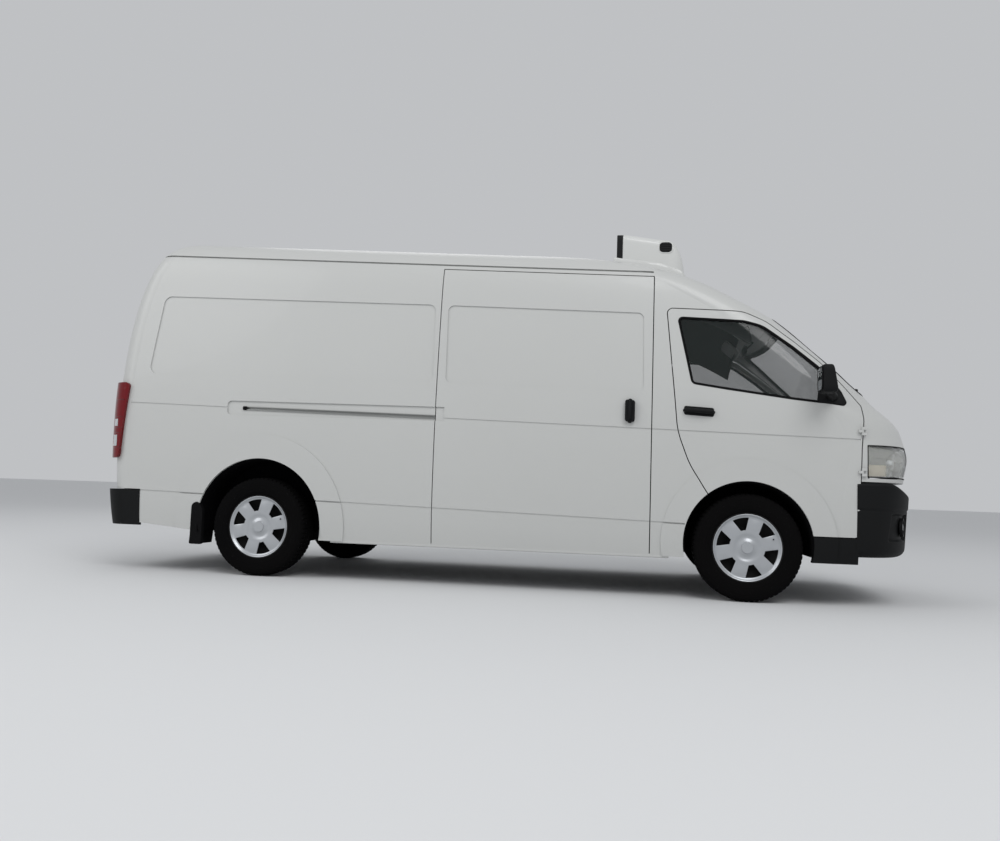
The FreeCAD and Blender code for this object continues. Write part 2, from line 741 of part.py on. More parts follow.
def cut_side(turn):
    """One side's share of the body wall, cut free of everything that meets it."""
    half = box(-REACH_X, REACH_X, 0 if turn > 0 else -REACH_Y, REACH_Y if turn > 0 else 0, 0, REACH_Z)
    return SHELL.common(half).cut([ROOF_REGION, NOSE_REGION, SCREEN_REGION, GATE_HOLE, REAR_BUMPER_REGION,
                                   ARCHES, DOOR_HOLES, TAIL_LAMPS, SILL_CUT])


def biggest(shape):
    """The largest solid of a shape."""
    return max(shape.Solids, key=lambda solid: solid.Volume)


def make_left_side():
    side = side_rest(1)
    node("side_left", biggest(side))


RAIL_REGION = side_prism(scaled(RAIL_SHARES), -REACH_Y, 0)


def make_right_side():
    """The right side, with the sliding door's opening and the slot for its rail."""
    slot = RAIL_REGION.cut(skin(s.rail_depth))
    node("side_right", biggest(side_rest(-1).cut([SLIDE_HOLE, slot])))


def make_slide_rail():
    """The sliding door's rail, a bar with a groove along it."""
    bar = RAIL_REGION.common(skin(s.rail_lip)).cut(skin(s.rail_depth))
    (x0, z0, _), (x1, z1, _), (_, z2, _), (_, z3, _) = scaled(RAIL_SHARES)
    half = s.rail_groove / 2
    middle = [(x0, (z0 + z3) / 2), (x1, (z1 + z2) / 2)]
    outline = [(x, z - half) for x, z in middle] + [(x, z + half) for x, z in reversed(middle)]
    groove = side_prism(outline, -REACH_Y, 0, s.rail_lip / 2)
    node("slide_rail", biggest(bar.cut(groove.cut(skin(s.rail_depth - s.rail_lip)))))


def front_steps():
    """The two strips under the front doors, between the wheel arch and the bumper."""
    strip = [piece for piece in side_rest(-1).Solids
             if piece.CenterOfMass.x > FRONT_AXLE_X and piece.CenterOfMass.z < s.footwell_top][0]
    return [strip, mirrored(strip)]


def make_sliding_door():
    """The sliding door, with its seal round the opening and its upright handle."""
    outline = SLIDE_OUTLINE
    node("sliding_door", biggest(SHELL.common(side_prism(outline, -REACH_Y, 0))))
    ring = side_prism(outline, -REACH_Y, 0, s.shut_gap).cut(side_prism(outline, -REACH_Y, 0))
    above = box(-REACH_X, REACH_X, -REACH_Y, 0, s.slide_bottom_height, REACH_Z)
    seal = ring.common(above).common(skin(s.seal_depth)).cut(skin(s.box_wall))
    grip = side_prism(scaled(SLIDE_HANDLE_SHARES), -REACH_Y, 0).common(skin(-s.handle_proud)).cut(skin(0.0))
    node("sliding_door_trim", Part.makeCompound([biggest(seal), biggest(grip)]))


def make_roof():
    """The roof with its pressed ribs and the tailgate's fixed hinge halves."""
    roof = biggest(SHELL.common(ROOF_REGION).cut([GATE_HOLE]))
    ribs = []
    for index in range(-2, 3):
        y = index * s.roof_rib_spacing
        ribs.append(box(s.rib_back_x, s.rib_front_x, y - s.roof_rib_width / 2, y + s.roof_rib_width / 2,
                        s.screen_top, REACH_Z))
    raised = skin(-s.roof_rib_proud).common(Part.makeCompound(ribs)).cut(skin(s.skin_overlap))
    node("roof", biggest(roof.fuse([raised, gate_hinges(fixed=True)])))


def make_front_panel():
    """The nose panel round the bonnet, grille and lamps, with the fixed halves of its hinges."""
    hole = end_prism(BONNET_OUTLINE, 0, REACH_X, s.shut_gap)
    panel = SHELL.common(NOSE_REGION).cut([
        box(-REACH_X, REACH_X, -REACH_Y, REACH_Y, 0, s.front_panel_bottom), hole, GRILLE_REGION, lamp_region()])
    hinges = [bonnet_hinge(fixed=True)] + [door_hinges(turn, fixed=True) for turn in (-1, 1)]
    node("front_panel", biggest(panel.fuse(hinges)))


GRILLE_REGION = end_prism(across(GRILLE_SHARES), 0, REACH_X)
BONNET_OUTLINE = rectangle(-s.bonnet_half, s.bonnet_half, s.bonnet_bottom, s.bonnet_top, s.gate_corner)


def lamp_region():
    """The two headlamps' places in the nose, wrapping round its corners."""
    return Part.makeCompound([end_prism(across(LAMP_SHARES, turn), s.lamp_back_x, REACH_X) for turn in (-1, 1)])


def make_lamps():
    """The headlamps in the nose and the tail lamps, which stand proud of the tail's corners."""
    node("headlamps", Part.makeCompound(SHELL.common(lamp_region()).Solids))
    tails = TAIL_LAMPS.common(skin(-s.lamp_proud)).cut(skin(s.box_wall))
    node("tail_lamps", Part.makeCompound(tails.Solids))


def make_grille():
    """The grille: a bordered plate with slots between its bars."""
    grille = GRILLE_REGION.common(skin(s.grille_inset)).cut(skin(s.grille_inset + s.grille_depth))
    step = (s.grille_top - s.grille_bottom - 2 * s.grille_border + s.bar_height) / GRILLE_BARS
    inside = end_prism(across(GRILLE_SHARES), 0, REACH_X, -s.grille_border)
    slots = []
    for index in range(GRILLE_BARS):
        low = s.grille_bottom + s.grille_border + index * step
        slots.append(box(0, REACH_X, -HALF_WIDTH, HALF_WIDTH, low, low + step - s.bar_height).common(inside))
    node("grille", biggest(grille.cut(slots)))


def make_windscreen():
    screen = SCREEN_REGION.common(skin(s.glass_inset)).cut(skin(s.glass_inset + s.glass_thickness))
    screen = screen.cut([ROOF_REGION, NOSE_REGION])
    node("windscreen", biggest(screen))


def make_bumpers():
    """The front bumper with its intake and lamp recesses, the rear bumper and the steps under the doors."""
    wall = skin(-s.bumper_nose_proud, -s.bumper_tail_proud, -s.bumper_side_proud).cut(skin(s.bumper_inner))
    front = wall.common(NOSE_REGION).common(side_prism(scaled(FRONT_BUMPER_SHARES), -REACH_Y, REACH_Y))
    intake = end_prism(across(INTAKE_SHARES), 0, REACH_X)
    low, high = intake.BoundBox.ZMin, intake.BoundBox.ZMax
    bars = [box(0, REACH_X, -HALF_WIDTH, HALF_WIDTH, z, z + s.intake_bar)
            for z in (low + (high - low) / 3, low + (high - low) * 2 / 3)]
    fog_y, fog_z = FOG_SHARES[0] * HALF_WIDTH, FOG_SHARES[1] * s.roof_height
    fogs = [cylinder(s.fog_radius, V(0, turn * fog_y, fog_z), V(REACH_X, turn * fog_y, fog_z)) for turn in (-1, 1)]
    deep = skin(s.intake_depth - s.bumper_nose_proud)
    front = front.cut([intake.cut(bars).cut(deep)] + [fog.cut(deep) for fog in fogs])
    rear = wall.common(box(-REACH_X, s.rear_bumper_x, -REACH_Y, REACH_Y, s.rear_bumper_bottom, s.rear_bumper_top))
    node("front_bumper", biggest(front))
    node("rear_bumper", biggest(rear))
    node("front_steps", Part.makeCompound(front_steps()))


def hinge(axis_point, axis, leaf, fixed, turn_in):
    """Half of a three-knuckle hinge: two outer knuckles when fixed, the middle one when moving.

    axis is a unit vector, leaf points from the axis towards the panel that carries this half,
    turn_in points from the axis into the body.
    """
    step = s.hinge_knuckle + s.hinge_play
    shapes = []
    for index in ((-1, 1) if fixed else (0,)):
        middle = axis_point + axis * (index * step)
        start = middle - axis * (s.hinge_knuckle / 2)
        knuckle = cylinder(s.hinge_radius, start, start + axis * s.hinge_knuckle)
        corner = start - turn_in * s.hinge_radius
        plate = Part.makePolygon([corner, corner + leaf * s.hinge_leaf,
                                  corner + leaf * s.hinge_leaf + turn_in * (s.hinge_sink + s.hinge_radius),
                                  corner + leaf * (s.hinge_leaf - s.hinge_radius) + turn_in * (s.hinge_sink + s.hinge_radius),
                                  corner + leaf * (s.hinge_leaf - s.hinge_radius) + turn_in * s.hinge_radius,
                                  corner + turn_in * s.hinge_radius, corner])
        shapes.append(knuckle.fuse(Part.Face(plate).extrude(axis * s.hinge_knuckle)))
    return Part.makeCompound(shapes)


DOOR_HINGE_Y = HALF_WIDTH + s.hinge_standoff


def door_hinges(turn, fixed):
    """The two hinge halves at a front door's leading edge."""
    halves = []
    for height in (s.door_hinge_low, s.door_hinge_high):
        halves.append(hinge(V(s.door_hinge_x, turn * DOOR_HINGE_Y, height), V(0, 0, 1),
                            V(1 if fixed else -1, 0, 0), fixed, V(0, -turn, 0)))
    return Part.makeCompound(halves)


def nose_point(height, y):
    """The outer surface's x on the nose at a height and distance from the middle."""
    x = HALF_LENGTH
    for _ in range(SETTLE_STEPS):
        level = level_height(x, height)
        share = min(abs(y) / reach_at(offset_profile(SIDE, 0.0), level), 1.0)
        tip = reach_at(offset_profile(FRONT, 0.0), level)
        x = tip - s.nose_corner_depth * (1 - (1 - share ** NOSE_SQUARENESS) ** (1 / NOSE_SQUARENESS))
    return x


def tail_point(height):
    """The outer surface's x on the tail's middle at a height."""
    x = -HALF_LENGTH
    for _ in range(SETTLE_STEPS):
        x = reach_at(offset_profile(REAR, 0.0), level_height(x, height))
    return x


BONNET_HINGE_Z = s.bonnet_top + s.shut_gap / 2
BONNET_NORMAL = V(math.cos(math.radians(BONNET_SLOPE)), 0, math.sin(math.radians(BONNET_SLOPE)))
BONNET_HINGE = V(nose_point(BONNET_HINGE_Z, s.bonnet_hinge_y), 0, BONNET_HINGE_Z) + BONNET_NORMAL * s.hinge_standoff
GATE_HINGE_Z = s.gate_top + s.shut_gap / 2
GATE_HINGE = V(tail_point(GATE_HINGE_Z) - s.hinge_standoff, 0, GATE_HINGE_Z + s.hinge_standoff)


def bonnet_hinge(fixed):
    """The bonnet's two hinge halves along its upper edge."""
    up = V(-BONNET_NORMAL.z, 0, BONNET_NORMAL.x)
    halves = [hinge(BONNET_HINGE + V(0, turn * s.bonnet_hinge_y, 0), V(0, 1, 0), up if fixed else -up, fixed,
                    -BONNET_NORMAL) for turn in (-1, 1)]
    return Part.makeCompound(halves)


def gate_hinges(fixed):
    """The tailgate's two hinge halves along its upper edge."""
    outward = V(-1, 0, 1).normalize()
    up = V(1, 0, 1).normalize()
    halves = [hinge(GATE_HINGE + V(0, turn * s.gate_hinge_y, 0), V(0, 1, 0), up if fixed else -up, fixed, -outward)
              for turn in (-1, 1)]
    return Part.makeCompound(halves)


def make_bonnet():
    """The short bonnet in the nose, with the moving halves of its hinges."""
    bonnet = layer(0.0, s.bonnet_wall).common(end_prism(BONNET_OUTLINE, 0, REACH_X))
    node("bonnet", biggest(biggest(bonnet).fuse(bonnet_hinge(fixed=False))))


def make_front_door(side, turn):
    """A front door with its window hole, rebated edge, glass, mirror on its corner plate, and handle."""
    outer, inner = turn * REACH_Y, turn * HALF_WIDTH / 2
    whole = side_prism(DOOR, inner, outer)
    ring = whole.cut(side_prism(DOOR, inner, outer, -s.rebate_width)).common(skin(s.rebate_depth))
    window = side_prism(WINDOW, inner, outer)
    panel = SHELL.common(whole).cut([ring, window, ARCHES])
    node(f"door_{side}", biggest(biggest(panel).fuse(door_hinges(turn, fixed=False))))
    y0, y1 = sorted((0.0, outer))
    ahead = box(SAIL_SHARE * HALF_LENGTH, REACH_X, y0, y1, 0, REACH_Z)
    glass = window.common(skin(s.glass_inset)).cut(skin(s.glass_inset + s.glass_thickness)).cut(ahead)
    node(f"door_{side}_glass", biggest(glass))
    handle = side_prism(scaled(HANDLE_SHARES), inner, outer).common(skin(-s.handle_proud)).cut(skin(0.0))
    sail = window.common(ahead).common(skin(-s.glass_inset)).cut(skin(s.rebate_depth))
    near = HALF_WIDTH + s.mirror_out
    head_y = sorted((turn * near, turn * (near + s.mirror_wide)))
    head = box(s.mirror_x - s.mirror_deep / 2, s.mirror_x + s.mirror_deep / 2, head_y[0], head_y[1],
               s.mirror_height - s.mirror_tall / 2, s.mirror_height + s.mirror_tall / 2)
    head = head.makeFillet(s.mirror_deep / 3, head.Edges)
    arm_y = sorted((0.0, turn * (near + s.mirror_arm)))
    arm = box(s.mirror_x, s.mirror_x + 2 * s.mirror_arm, arm_y[0], arm_y[1],
              s.mirror_arm_height - s.mirror_arm / 2, s.mirror_arm_height + s.mirror_arm / 2).cut(skin(0.0))
    mirror = biggest(head.fuse([arm, biggest(sail)]))
    node(f"door_{side}_trim", Part.makeCompound([biggest(handle), mirror]))


def make_tailgate():
    """The tailgate with its recessed glass and the moving halves of its hinges."""
    glass_prism = end_prism(rectangle(-s.gate_glass_half, s.gate_glass_half, s.gate_glass_bottom, s.gate_glass_top,
                                      s.gate_corner), -REACH_X, s.gate_front_x)
    recess = glass_prism.cut(skin(s.glass_thickness + s.glass_inset))
    gate = SHELL.common(end_prism(GATE_OUTLINE, -REACH_X, s.gate_front_x)).cut(recess)
    node("tailgate", biggest(biggest(gate).fuse(gate_hinges(fixed=False))))
    glass = glass_prism.common(skin(s.glass_inset)).cut(skin(s.glass_thickness + s.glass_inset))
    node("tailgate_glass", biggest(glass))


def make_load_floor():
    """The load floor with its wheel boxes and the raised plate that goods stand on."""
    inside = skin(s.box_wall + s.loose_gap).common(skin(s.box_wall).translated(V(s.shut_gap, 0, 0)))
    slab = box(-REACH_X, s.bulkhead_front_x, -REACH_Y, REACH_Y, FLOOR_UNDER, s.floor_top)
    half = s.rear_arch_radius + s.box_house_wall
    houses = []
    for turn in (-1, 1):
        y0, y1 = sorted((turn * s.box_house_inner_y, turn * REACH_Y))
        houses.append(box(REAR_AXLE_X - half, REAR_AXLE_X + half, y0, y1, FLOOR_UNDER, s.box_house_top))
    wells = wheel_arches(s.front_arch_radius, s.rear_arch_radius, s.box_house_inner_y + s.box_house_wall, REACH_Y)
    plate = box(s.floor_panel_back_x, s.floor_panel_front_x, -s.floor_panel_half, s.floor_panel_half,
                FLOOR_UNDER, s.floor_top + s.floor_panel)
    floor = slab.fuse(houses + [plate]).common(inside).cut(wells)
    node("load_floor", biggest(floor.removeSplitter()))


def make_bulkhead():
    wall = box(s.bulkhead_front_x - s.bulkhead_thickness, s.bulkhead_front_x, -REACH_Y, REACH_Y, s.floor_top, REACH_Z)
    node("bulkhead", biggest(wall.common(skin(s.box_wall + s.seat_gap))))


def make_cab_floor():
    t = s.cab_floor_thickness
    top, low = SEAT_FLOOR_TOP, s.footwell_top
    back, step, toe, wall = s.bulkhead_front_x, s.seat_floor_front_x, s.toe_x, s.firewall_x
    upper = [(back, top), (step, top), (step, low), (toe, low), (wall - t, low + wall - toe), (wall - t, s.firewall_top)]
    lower = [(wall, s.firewall_top), (wall, low + wall - toe - t), (toe, low - t), (step - t, low - t),
             (step - t, top - t), (back + t, top - t), (back + t, FLOOR_UNDER), (back, FLOOR_UNDER)]
    inside = skin(s.cab_wall + s.trim_gap)
    floor = side_prism(upper + lower, -REACH_Y, REACH_Y).common(inside)
    houses = []
    for turn in (-1, 1):
        outside = cylinder(s.front_arch_radius + s.house_wall,
                           V(FRONT_AXLE_X, turn * (WHEEL_Y - s.arch_reach - s.house_wall), s.arch_centre_height),
                           V(FRONT_AXLE_X, turn * REACH_Y, s.arch_centre_height))
        hollow = cylinder(s.front_arch_radius, V(FRONT_AXLE_X, turn * (WHEEL_Y - s.arch_reach), s.arch_centre_height),
                          V(FRONT_AXLE_X, turn * REACH_Y, s.arch_centre_height))
        y0, y1 = sorted((turn * (WHEEL_Y - s.arch_reach - s.house_wall), turn * REACH_Y))
        upper_half = box(-REACH_X, REACH_X, y0, y1, s.rail_top, REACH_Z)
        houses.append(outside.cut(hollow).common(upper_half).common(inside))
    node("cab_floor", biggest(floor.fuse(houses)))


STEERING_AXIS = V(-math.cos(math.radians(s.steering_tilt)), 0, math.sin(math.radians(s.steering_tilt)))
STEERING_CENTRE = V(s.steering_x, s.wheel_y, s.steering_height)


def make_dashboard():
    """The dashboard with the steering column's shroud, bored for the wheel's shaft."""
    body = box(s.dash_back_x, s.firewall_x - s.cab_floor_thickness, -s.dash_half, s.dash_half,
               s.dash_bottom, s.dash_top)
    near = STEERING_CENTRE - STEERING_AXIS * s.column_gap
    shroud = cylinder(s.column_radius, STEERING_CENTRE - STEERING_AXIS * s.column_length, near)
    bore = cylinder(s.steering_shaft_radius + s.running_play,
                    STEERING_CENTRE - STEERING_AXIS * (s.steering_shaft_length + s.column_gap), STEERING_CENTRE)
    body = body.common(skin(s.cab_wall + s.trim_gap)).fuse(shroud).cut(bore)
    node("dashboard", biggest(body))


def make_seats():
    solids = []
    for y0, y1 in ((s.driver_inner_y, s.driver_outer_y), (s.bench_outer_y, s.bench_inner_y)):
        back_x = s.seat_front_x - s.seat_length
        cushion = box(back_x, s.seat_front_x, y0, y1, SEAT_FLOOR_TOP, SEAT_FLOOR_TOP + s.seat_cushion)
        rest = box(back_x, back_x + s.seat_back_thickness, y0, y1, SEAT_FLOOR_TOP,
                   SEAT_FLOOR_TOP + s.seat_cushion + s.seat_back_height)
        seat = cushion.fuse(rest).removeSplitter()
        solids.append(seat)
    node("driver_seat", solids[0])
    node("passenger_bench", solids[1])


def make_unit():
    """The condenser housing on the roof's nose and the fairing that it stands on."""
    x0, x1, lip, half = s.unit_back_x, s.unit_front_x, s.unit_base_lip, s.unit_half
    base_points = [(x0 - lip, s.screen_top), (x1 + 4 * lip, s.screen_top), (x1 + 4 * lip, s.unit_base_top - 7 * lip),
                   (x1 + lip, s.unit_base_top - lip), (x1, s.unit_base_top), (x0 - lip, s.unit_base_top)]
    base = rounded(side_prism(base_points, -half - lip, half + lip), s.unit_base_lip, V(0, 0, 1))
    node("unit_base", biggest(base.cut(skin(0.0))))
    housing_points = [(x0, s.unit_base_top), (x1, s.unit_base_top), (x1 - s.unit_slope / 2, s.unit_top - s.unit_slope),
                      (x1 - s.unit_slope * 1.5, s.unit_top), (x0 + s.unit_slope, s.unit_top), (x0, s.unit_top - s.unit_slope / 2)]
    housing = rounded(side_prism(housing_points, -half, half), s.unit_base_lip, V(0, 1, 0))
    fan_z = (s.unit_base_top + s.unit_top) / 2
    for turn in (-1, 1):
        centre = V(x0, turn * s.fan_y, fan_z)
        pocket = cylinder(s.fan_radius + s.fan_tip_gap, centre - V(s.overrun, 0, 0), centre + V(s.fan_pocket, 0, 0))
        shaft = cylinder(s.fan_shaft_radius, centre + V(s.fan_pocket / 4, 0, 0), centre + V(s.fan_pocket, 0, 0))
        housing = housing.cut(pocket).fuse(shaft)
    node("unit_housing", biggest(housing))
    for side, turn in (("right", -1), ("left", 1)):
        make_fan(f"unit_fan_{side}", V(x0 + s.fan_pocket / 2, turn * s.fan_y, fan_z))


def make_fan(name, centre):
    """A bladed rotor about X, bored for its shaft."""
    half = s.fan_hub_length / 2
    hub = cylinder(s.fan_hub_radius, centre - V(half, 0, 0), centre + V(half, 0, 0))
    blades = []
    for index in range(BLADE_COUNT):
        blade = Part.makeBox(s.fan_hub_length, s.fan_blade_thickness, s.fan_radius - s.fan_hub_radius / 2,
                             centre + V(-half, -s.fan_blade_thickness / 2, s.fan_hub_radius / 2))
        blade.rotate(centre, V(0, 0, 1), BLADE_PITCH)
        blade.rotate(centre, V(1, 0, 0), 360.0 * index / BLADE_COUNT)
        blades.append(blade)
    disc = cylinder(s.fan_radius, centre - V(half, 0, 0), centre + V(half, 0, 0))
    fan = hub.fuse(blades).common(disc)
    bore = cylinder(s.fan_shaft_radius + s.running_play, centre - V(half, 0, 0), centre + V(half, 0, 0))
    node(name, biggest(fan.cut(bore)))


def revolved(points, centre, axis):
    """A solid turned about an axis through a centre, from (radius, along) points."""
    side = V(1, 0, 0) if abs(axis.x) < 1 - s.hinge_play else V(0, 0, 1)
    ring = [centre + side * r + axis * a for r, a in points]
    face = Part.Face(Part.makePolygon(ring + ring[:1]))
    return face.revolve(centre, axis, 360)


def make_wheels():
    for end, x in (("front", FRONT_AXLE_X), ("rear", REAR_AXLE_X)):
        for side, turn in (("right", -1), ("left", 1)):
            centre = V(x, turn * WHEEL_Y, AXLE_Z)
            outward = V(0, turn, 0)
            half = s.tyre_width / 2
            rim_half = s.rim_width / 2
            tyre = revolved([(s.rim_radius, -rim_half), (s.rim_radius + s.tyre_bead, -rim_half),
                             ((s.rim_radius + s.tyre_radius) / 2, -half), (s.tyre_radius - s.tyre_shoulder, -half),
                             (s.tyre_radius, -half + s.tyre_shoulder), (s.tyre_radius, half - s.tyre_shoulder),
                             (s.tyre_radius - s.tyre_shoulder, half), ((s.rim_radius + s.tyre_radius) / 2, half),
                             (s.rim_radius + s.tyre_bead, rim_half), (s.rim_radius, rim_half)], centre, outward)
            node(f"tyre_{end}_{side}", tyre)
            inner = s.rim_radius - s.rim_wall
            face = s.disc_offset
            rim = revolved([(s.rim_radius, -rim_half), (s.rim_radius, rim_half), (inner, rim_half),
                            (inner, face), (s.hub_radius * 2, face - s.disc_dish), (s.hub_radius, face - s.disc_dish),
                            (s.hub_radius, face), (s.hub_bore, face), (s.hub_bore, face - s.hub_length),
                            (s.hub_radius, face - s.hub_length), (s.hub_radius, face - s.disc_dish - s.disc_thickness),
                            (s.hub_radius * 2, face - s.disc_dish - s.disc_thickness), (inner, face - s.disc_thickness),
                            (inner, -rim_half)], centre, outward)
            node(f"rim_{end}_{side}", rim)


def make_knuckles():
    for side, turn in (("right", -1), ("left", 1)):
        post = cylinder(s.kingpin_radius, V(FRONT_AXLE_X, turn * s.kingpin_y, s.kingpin_bottom),
                        V(FRONT_AXLE_X, turn * s.kingpin_y, s.kingpin_top))
        hub_inner = WHEEL_Y + s.disc_offset - s.hub_length - s.hinge_play
        boss = cylinder(s.knuckle_radius, V(FRONT_AXLE_X, turn * (s.kingpin_y - s.kingpin_radius), AXLE_Z),
                        V(FRONT_AXLE_X, turn * hub_inner, AXLE_Z))
        stub = cylinder(s.hub_bore - s.running_play, V(FRONT_AXLE_X, turn * s.kingpin_y, AXLE_Z),
                        V(FRONT_AXLE_X, turn * (WHEEL_Y + s.disc_offset - s.hinge_play), AXLE_Z))
        node(f"knuckle_{side}", biggest(post.fuse([boss, stub])))


def make_rear_axle():
    hub_inner = WHEEL_Y + s.disc_offset - s.hub_length - s.hinge_play
    tube = cylinder(s.axle_radius, V(REAR_AXLE_X, -hub_inner, AXLE_Z), V(REAR_AXLE_X, hub_inner, AXLE_Z))
    stub_end = WHEEL_Y + s.disc_offset - s.hinge_play
    stub = cylinder(s.hub_bore - s.running_play, V(REAR_AXLE_X, -stub_end, AXLE_Z), V(REAR_AXLE_X, stub_end, AXLE_Z))
    bulge = Part.makeSphere(s.diff_radius, V(REAR_AXLE_X, 0, AXLE_Z))
    node("rear_axle", biggest(tube.fuse([stub, bulge])))


def make_suspension():
    """The rear leaf springs and the front lower and upper arms."""
    solids = []
    low = AXLE_Z + s.axle_radius
    rail_under = s.rail_top - s.chassis_rail_depth
    for turn in (-1, 1):
        arc = Part.Arc(V(REAR_AXLE_X - s.leaf_half, 0, rail_under - s.leaf_thickness), V(REAR_AXLE_X, 0, low),
                       V(REAR_AXLE_X + s.leaf_half, 0, rail_under - s.leaf_thickness)).toShape()
        upper = arc.translated(V(0, 0, s.leaf_thickness))
        ends = [Part.LineSegment(a.Point, b.Point).toShape() for a, b in zip(arc.Vertexes, upper.Vertexes)]
        face = Part.Face(Part.Wire(Part.__sortEdges__([arc, upper] + ends)))
        leaf = face.extrude(V(0, s.leaf_width, 0))
        leaf.translate(V(0, turn * s.rail_half - s.leaf_width / 2, 0))
        solids.append(leaf)
        for height in (s.kingpin_bottom - s.arm_thickness, s.kingpin_top):
            outer_y = turn * (s.kingpin_y + s.kingpin_radius)
            inner_y = turn * (s.rail_half + (s.rail_width / 2 if height > AXLE_Z else -s.rail_width))
            points = [V(FRONT_AXLE_X - s.arm_width / 4, outer_y, height), V(FRONT_AXLE_X + s.arm_width / 4, outer_y, height),
                      V(FRONT_AXLE_X + s.arm_width / 2, inner_y, height), V(FRONT_AXLE_X - s.arm_width / 2, inner_y, height)]
            arm = Part.Face(Part.makePolygon(points + points[:1])).extrude(V(0, 0, s.arm_thickness))
            solids.append(arm)
    node("suspension", Part.makeCompound(solids))


def make_chassis():
    top, depth = s.rail_top, s.chassis_rail_depth
    front_top = s.footwell_top - s.cab_floor_thickness
    kick = s.rail_kick_x + s.rail_kick_length
    rail_points = [(s.rail_rear_x, top), (s.rail_kick_x, top), (kick, front_top), (s.rail_front_x, front_top),
                   (s.rail_front_x, front_top - depth), (kick, front_top - depth), (s.rail_kick_x, top - depth),
                   (s.rail_rear_x, top - depth)]
    parts = []
    for turn in (-1, 1):
        middle = turn * s.rail_half
        parts.append(side_prism(rail_points, middle - s.rail_width / 2, middle + s.rail_width / 2))
    reach = s.rail_half
    for x in (s.rail_rear_x + s.cross_width, REAR_AXLE_X + s.leaf_half + s.cross_width, s.tank_front_x + s.cross_width,
              s.engine_back_x - s.cross_width):
        parts.append(box(x - s.cross_width / 2, x + s.cross_width / 2, -reach, reach, top - s.cross_depth, top))
    x = s.rail_front_x - s.cross_width
    parts.append(box(x, x + s.cross_width, -reach, reach, front_top - depth, front_top))
    half = s.front_cross_width / 2
    cross_top = s.front_cross_bottom + s.front_cross_depth
    beam_half = s.rail_half + s.rail_width / 2
    parts.append(box(FRONT_AXLE_X - half, FRONT_AXLE_X + half, -beam_half, beam_half, s.front_cross_bottom, cross_top))
    for turn in (-1, 1):
        y0, y1 = sorted((turn * (s.rail_half - s.rail_width / 2), turn * beam_half))
        parts.append(box(FRONT_AXLE_X - half, FRONT_AXLE_X + half, y0, y1, cross_top, top - depth))
    for turn in (-1, 1):
        middle = turn * s.rail_half
        parts.append(box(s.jack_back_x, s.jack_front_x, middle - s.rail_width / 2, middle + s.rail_width / 2,
                         top - depth - s.jacking_pad, top - depth))
    frame = parts[0].fuse(parts[1:]).removeSplitter()
    rear = s.rail_rear_x + s.cross_width
    holes = []
    for y in (-s.hitch_spacing_y / 2, s.hitch_spacing_y / 2):
        for z in (-s.hitch_spacing_z / 2, s.hitch_spacing_z / 2):
            start = V(rear - s.cross_width, y, top - s.cross_depth / 2 + z)
            holes.append(cylinder(s.hitch_hole_radius, start, start + V(2 * s.cross_width, 0, 0)))
    node("chassis", biggest(frame.cut(holes)))


def make_engine():
    node("engine", box(s.engine_back_x, s.engine_front_x, -s.engine_half, s.engine_half, s.engine_bottom, s.engine_top))


def make_tank_and_exhaust():
    tank = box(s.tank_back_x, s.tank_front_x, s.tank_inner_y, s.tank_outer_y, s.tank_bottom, FLOOR_UNDER)
    tank = rounded(tank, s.tank_corner, V(1, 0, 0))
    node("fuel_tank", tank)
    y, z = s.exhaust_y, s.exhaust_height
    pipe = cylinder(s.exhaust_radius, V(s.outlet_x, y, z), V(s.engine_back_x, y, z))
    muffler = cylinder(s.muffler_radius, V(s.muffler_back_x, y, z), V(s.muffler_front_x, y, z))
    outlet = cylinder(s.exhaust_radius, V(s.outlet_x, y, z), V(s.outlet_x, s.outlet_y, z))
    bend = Part.makeSphere(s.exhaust_radius, V(s.outlet_x, y, z))
    node("exhaust", biggest(pipe.fuse([muffler, outlet, bend])))


def make_steering_wheel():
    """The steering wheel in its tilted plane, with the shaft that carries it in the column."""
    centre, axis = STEERING_CENTRE, STEERING_AXIS
    ring = Part.makeTorus(s.steering_radius, s.steering_rim, centre, axis)
    hub = cylinder(s.column_radius * 2, centre - axis * s.steering_rim, centre + axis * s.steering_rim)
    spokes = [cylinder(s.steering_rim / 2, centre, centre + V(0, turn * s.steering_radius, 0)) for turn in (-1, 1)]
    shaft = cylinder(s.steering_shaft_radius, centre - axis * s.steering_shaft_length, centre)
    node("steering_wheel", biggest(ring.fuse([hub, shaft] + spokes)))


def report():
    """Stops if any object failed, then prints each sub-part's size."""
    doc.recompute()
    for item in doc.Objects:
        if any(word in item.State for word in ("Invalid", "Error")):
            raise RuntimeError(f"{item.Name} failed")
    for name, item in pieces.items():
        shape = item.Shape
        if shape.isNull() or not shape.isValid() or shape.Volume <= 0:
            raise RuntimeError(f"{name} has no valid shape")


make_left_side()
make_right_side()
make_slide_rail()
make_sliding_door()
make_roof()
make_front_panel()
make_lamps()
make_grille()
make_windscreen()
make_bumpers()
make_bonnet()
for side_name, side_turn in (("right", -1), ("left", 1)):
    make_front_door(side_name, side_turn)
make_tailgate()
make_load_floor()
make_bulkhead()
make_cab_floor()
make_dashboard()
make_seats()
make_steering_wheel()
make_unit()
make_wheels()
make_knuckles()
make_rear_axle()
make_suspension()
make_chassis()
make_engine()
make_tank_and_exhaust()
report()
os.makedirs("parts", exist_ok=True)
for piece_name, piece in pieces.items():
    piece.Shape.exportStep(f"parts/{piece_name}.step")
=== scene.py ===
"""Dresses the refrigerated panel van: materials for every solid, and the small pieces the photograph shows.

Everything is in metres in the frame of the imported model: X forward, Y to the van's left, Z up.
"""
import json
import logging
import math
from collections.abc import Callable
from dataclasses import dataclass
from enum import Enum

import bmesh
import bpy
import numpy as np
from mathutils import Matrix, Vector

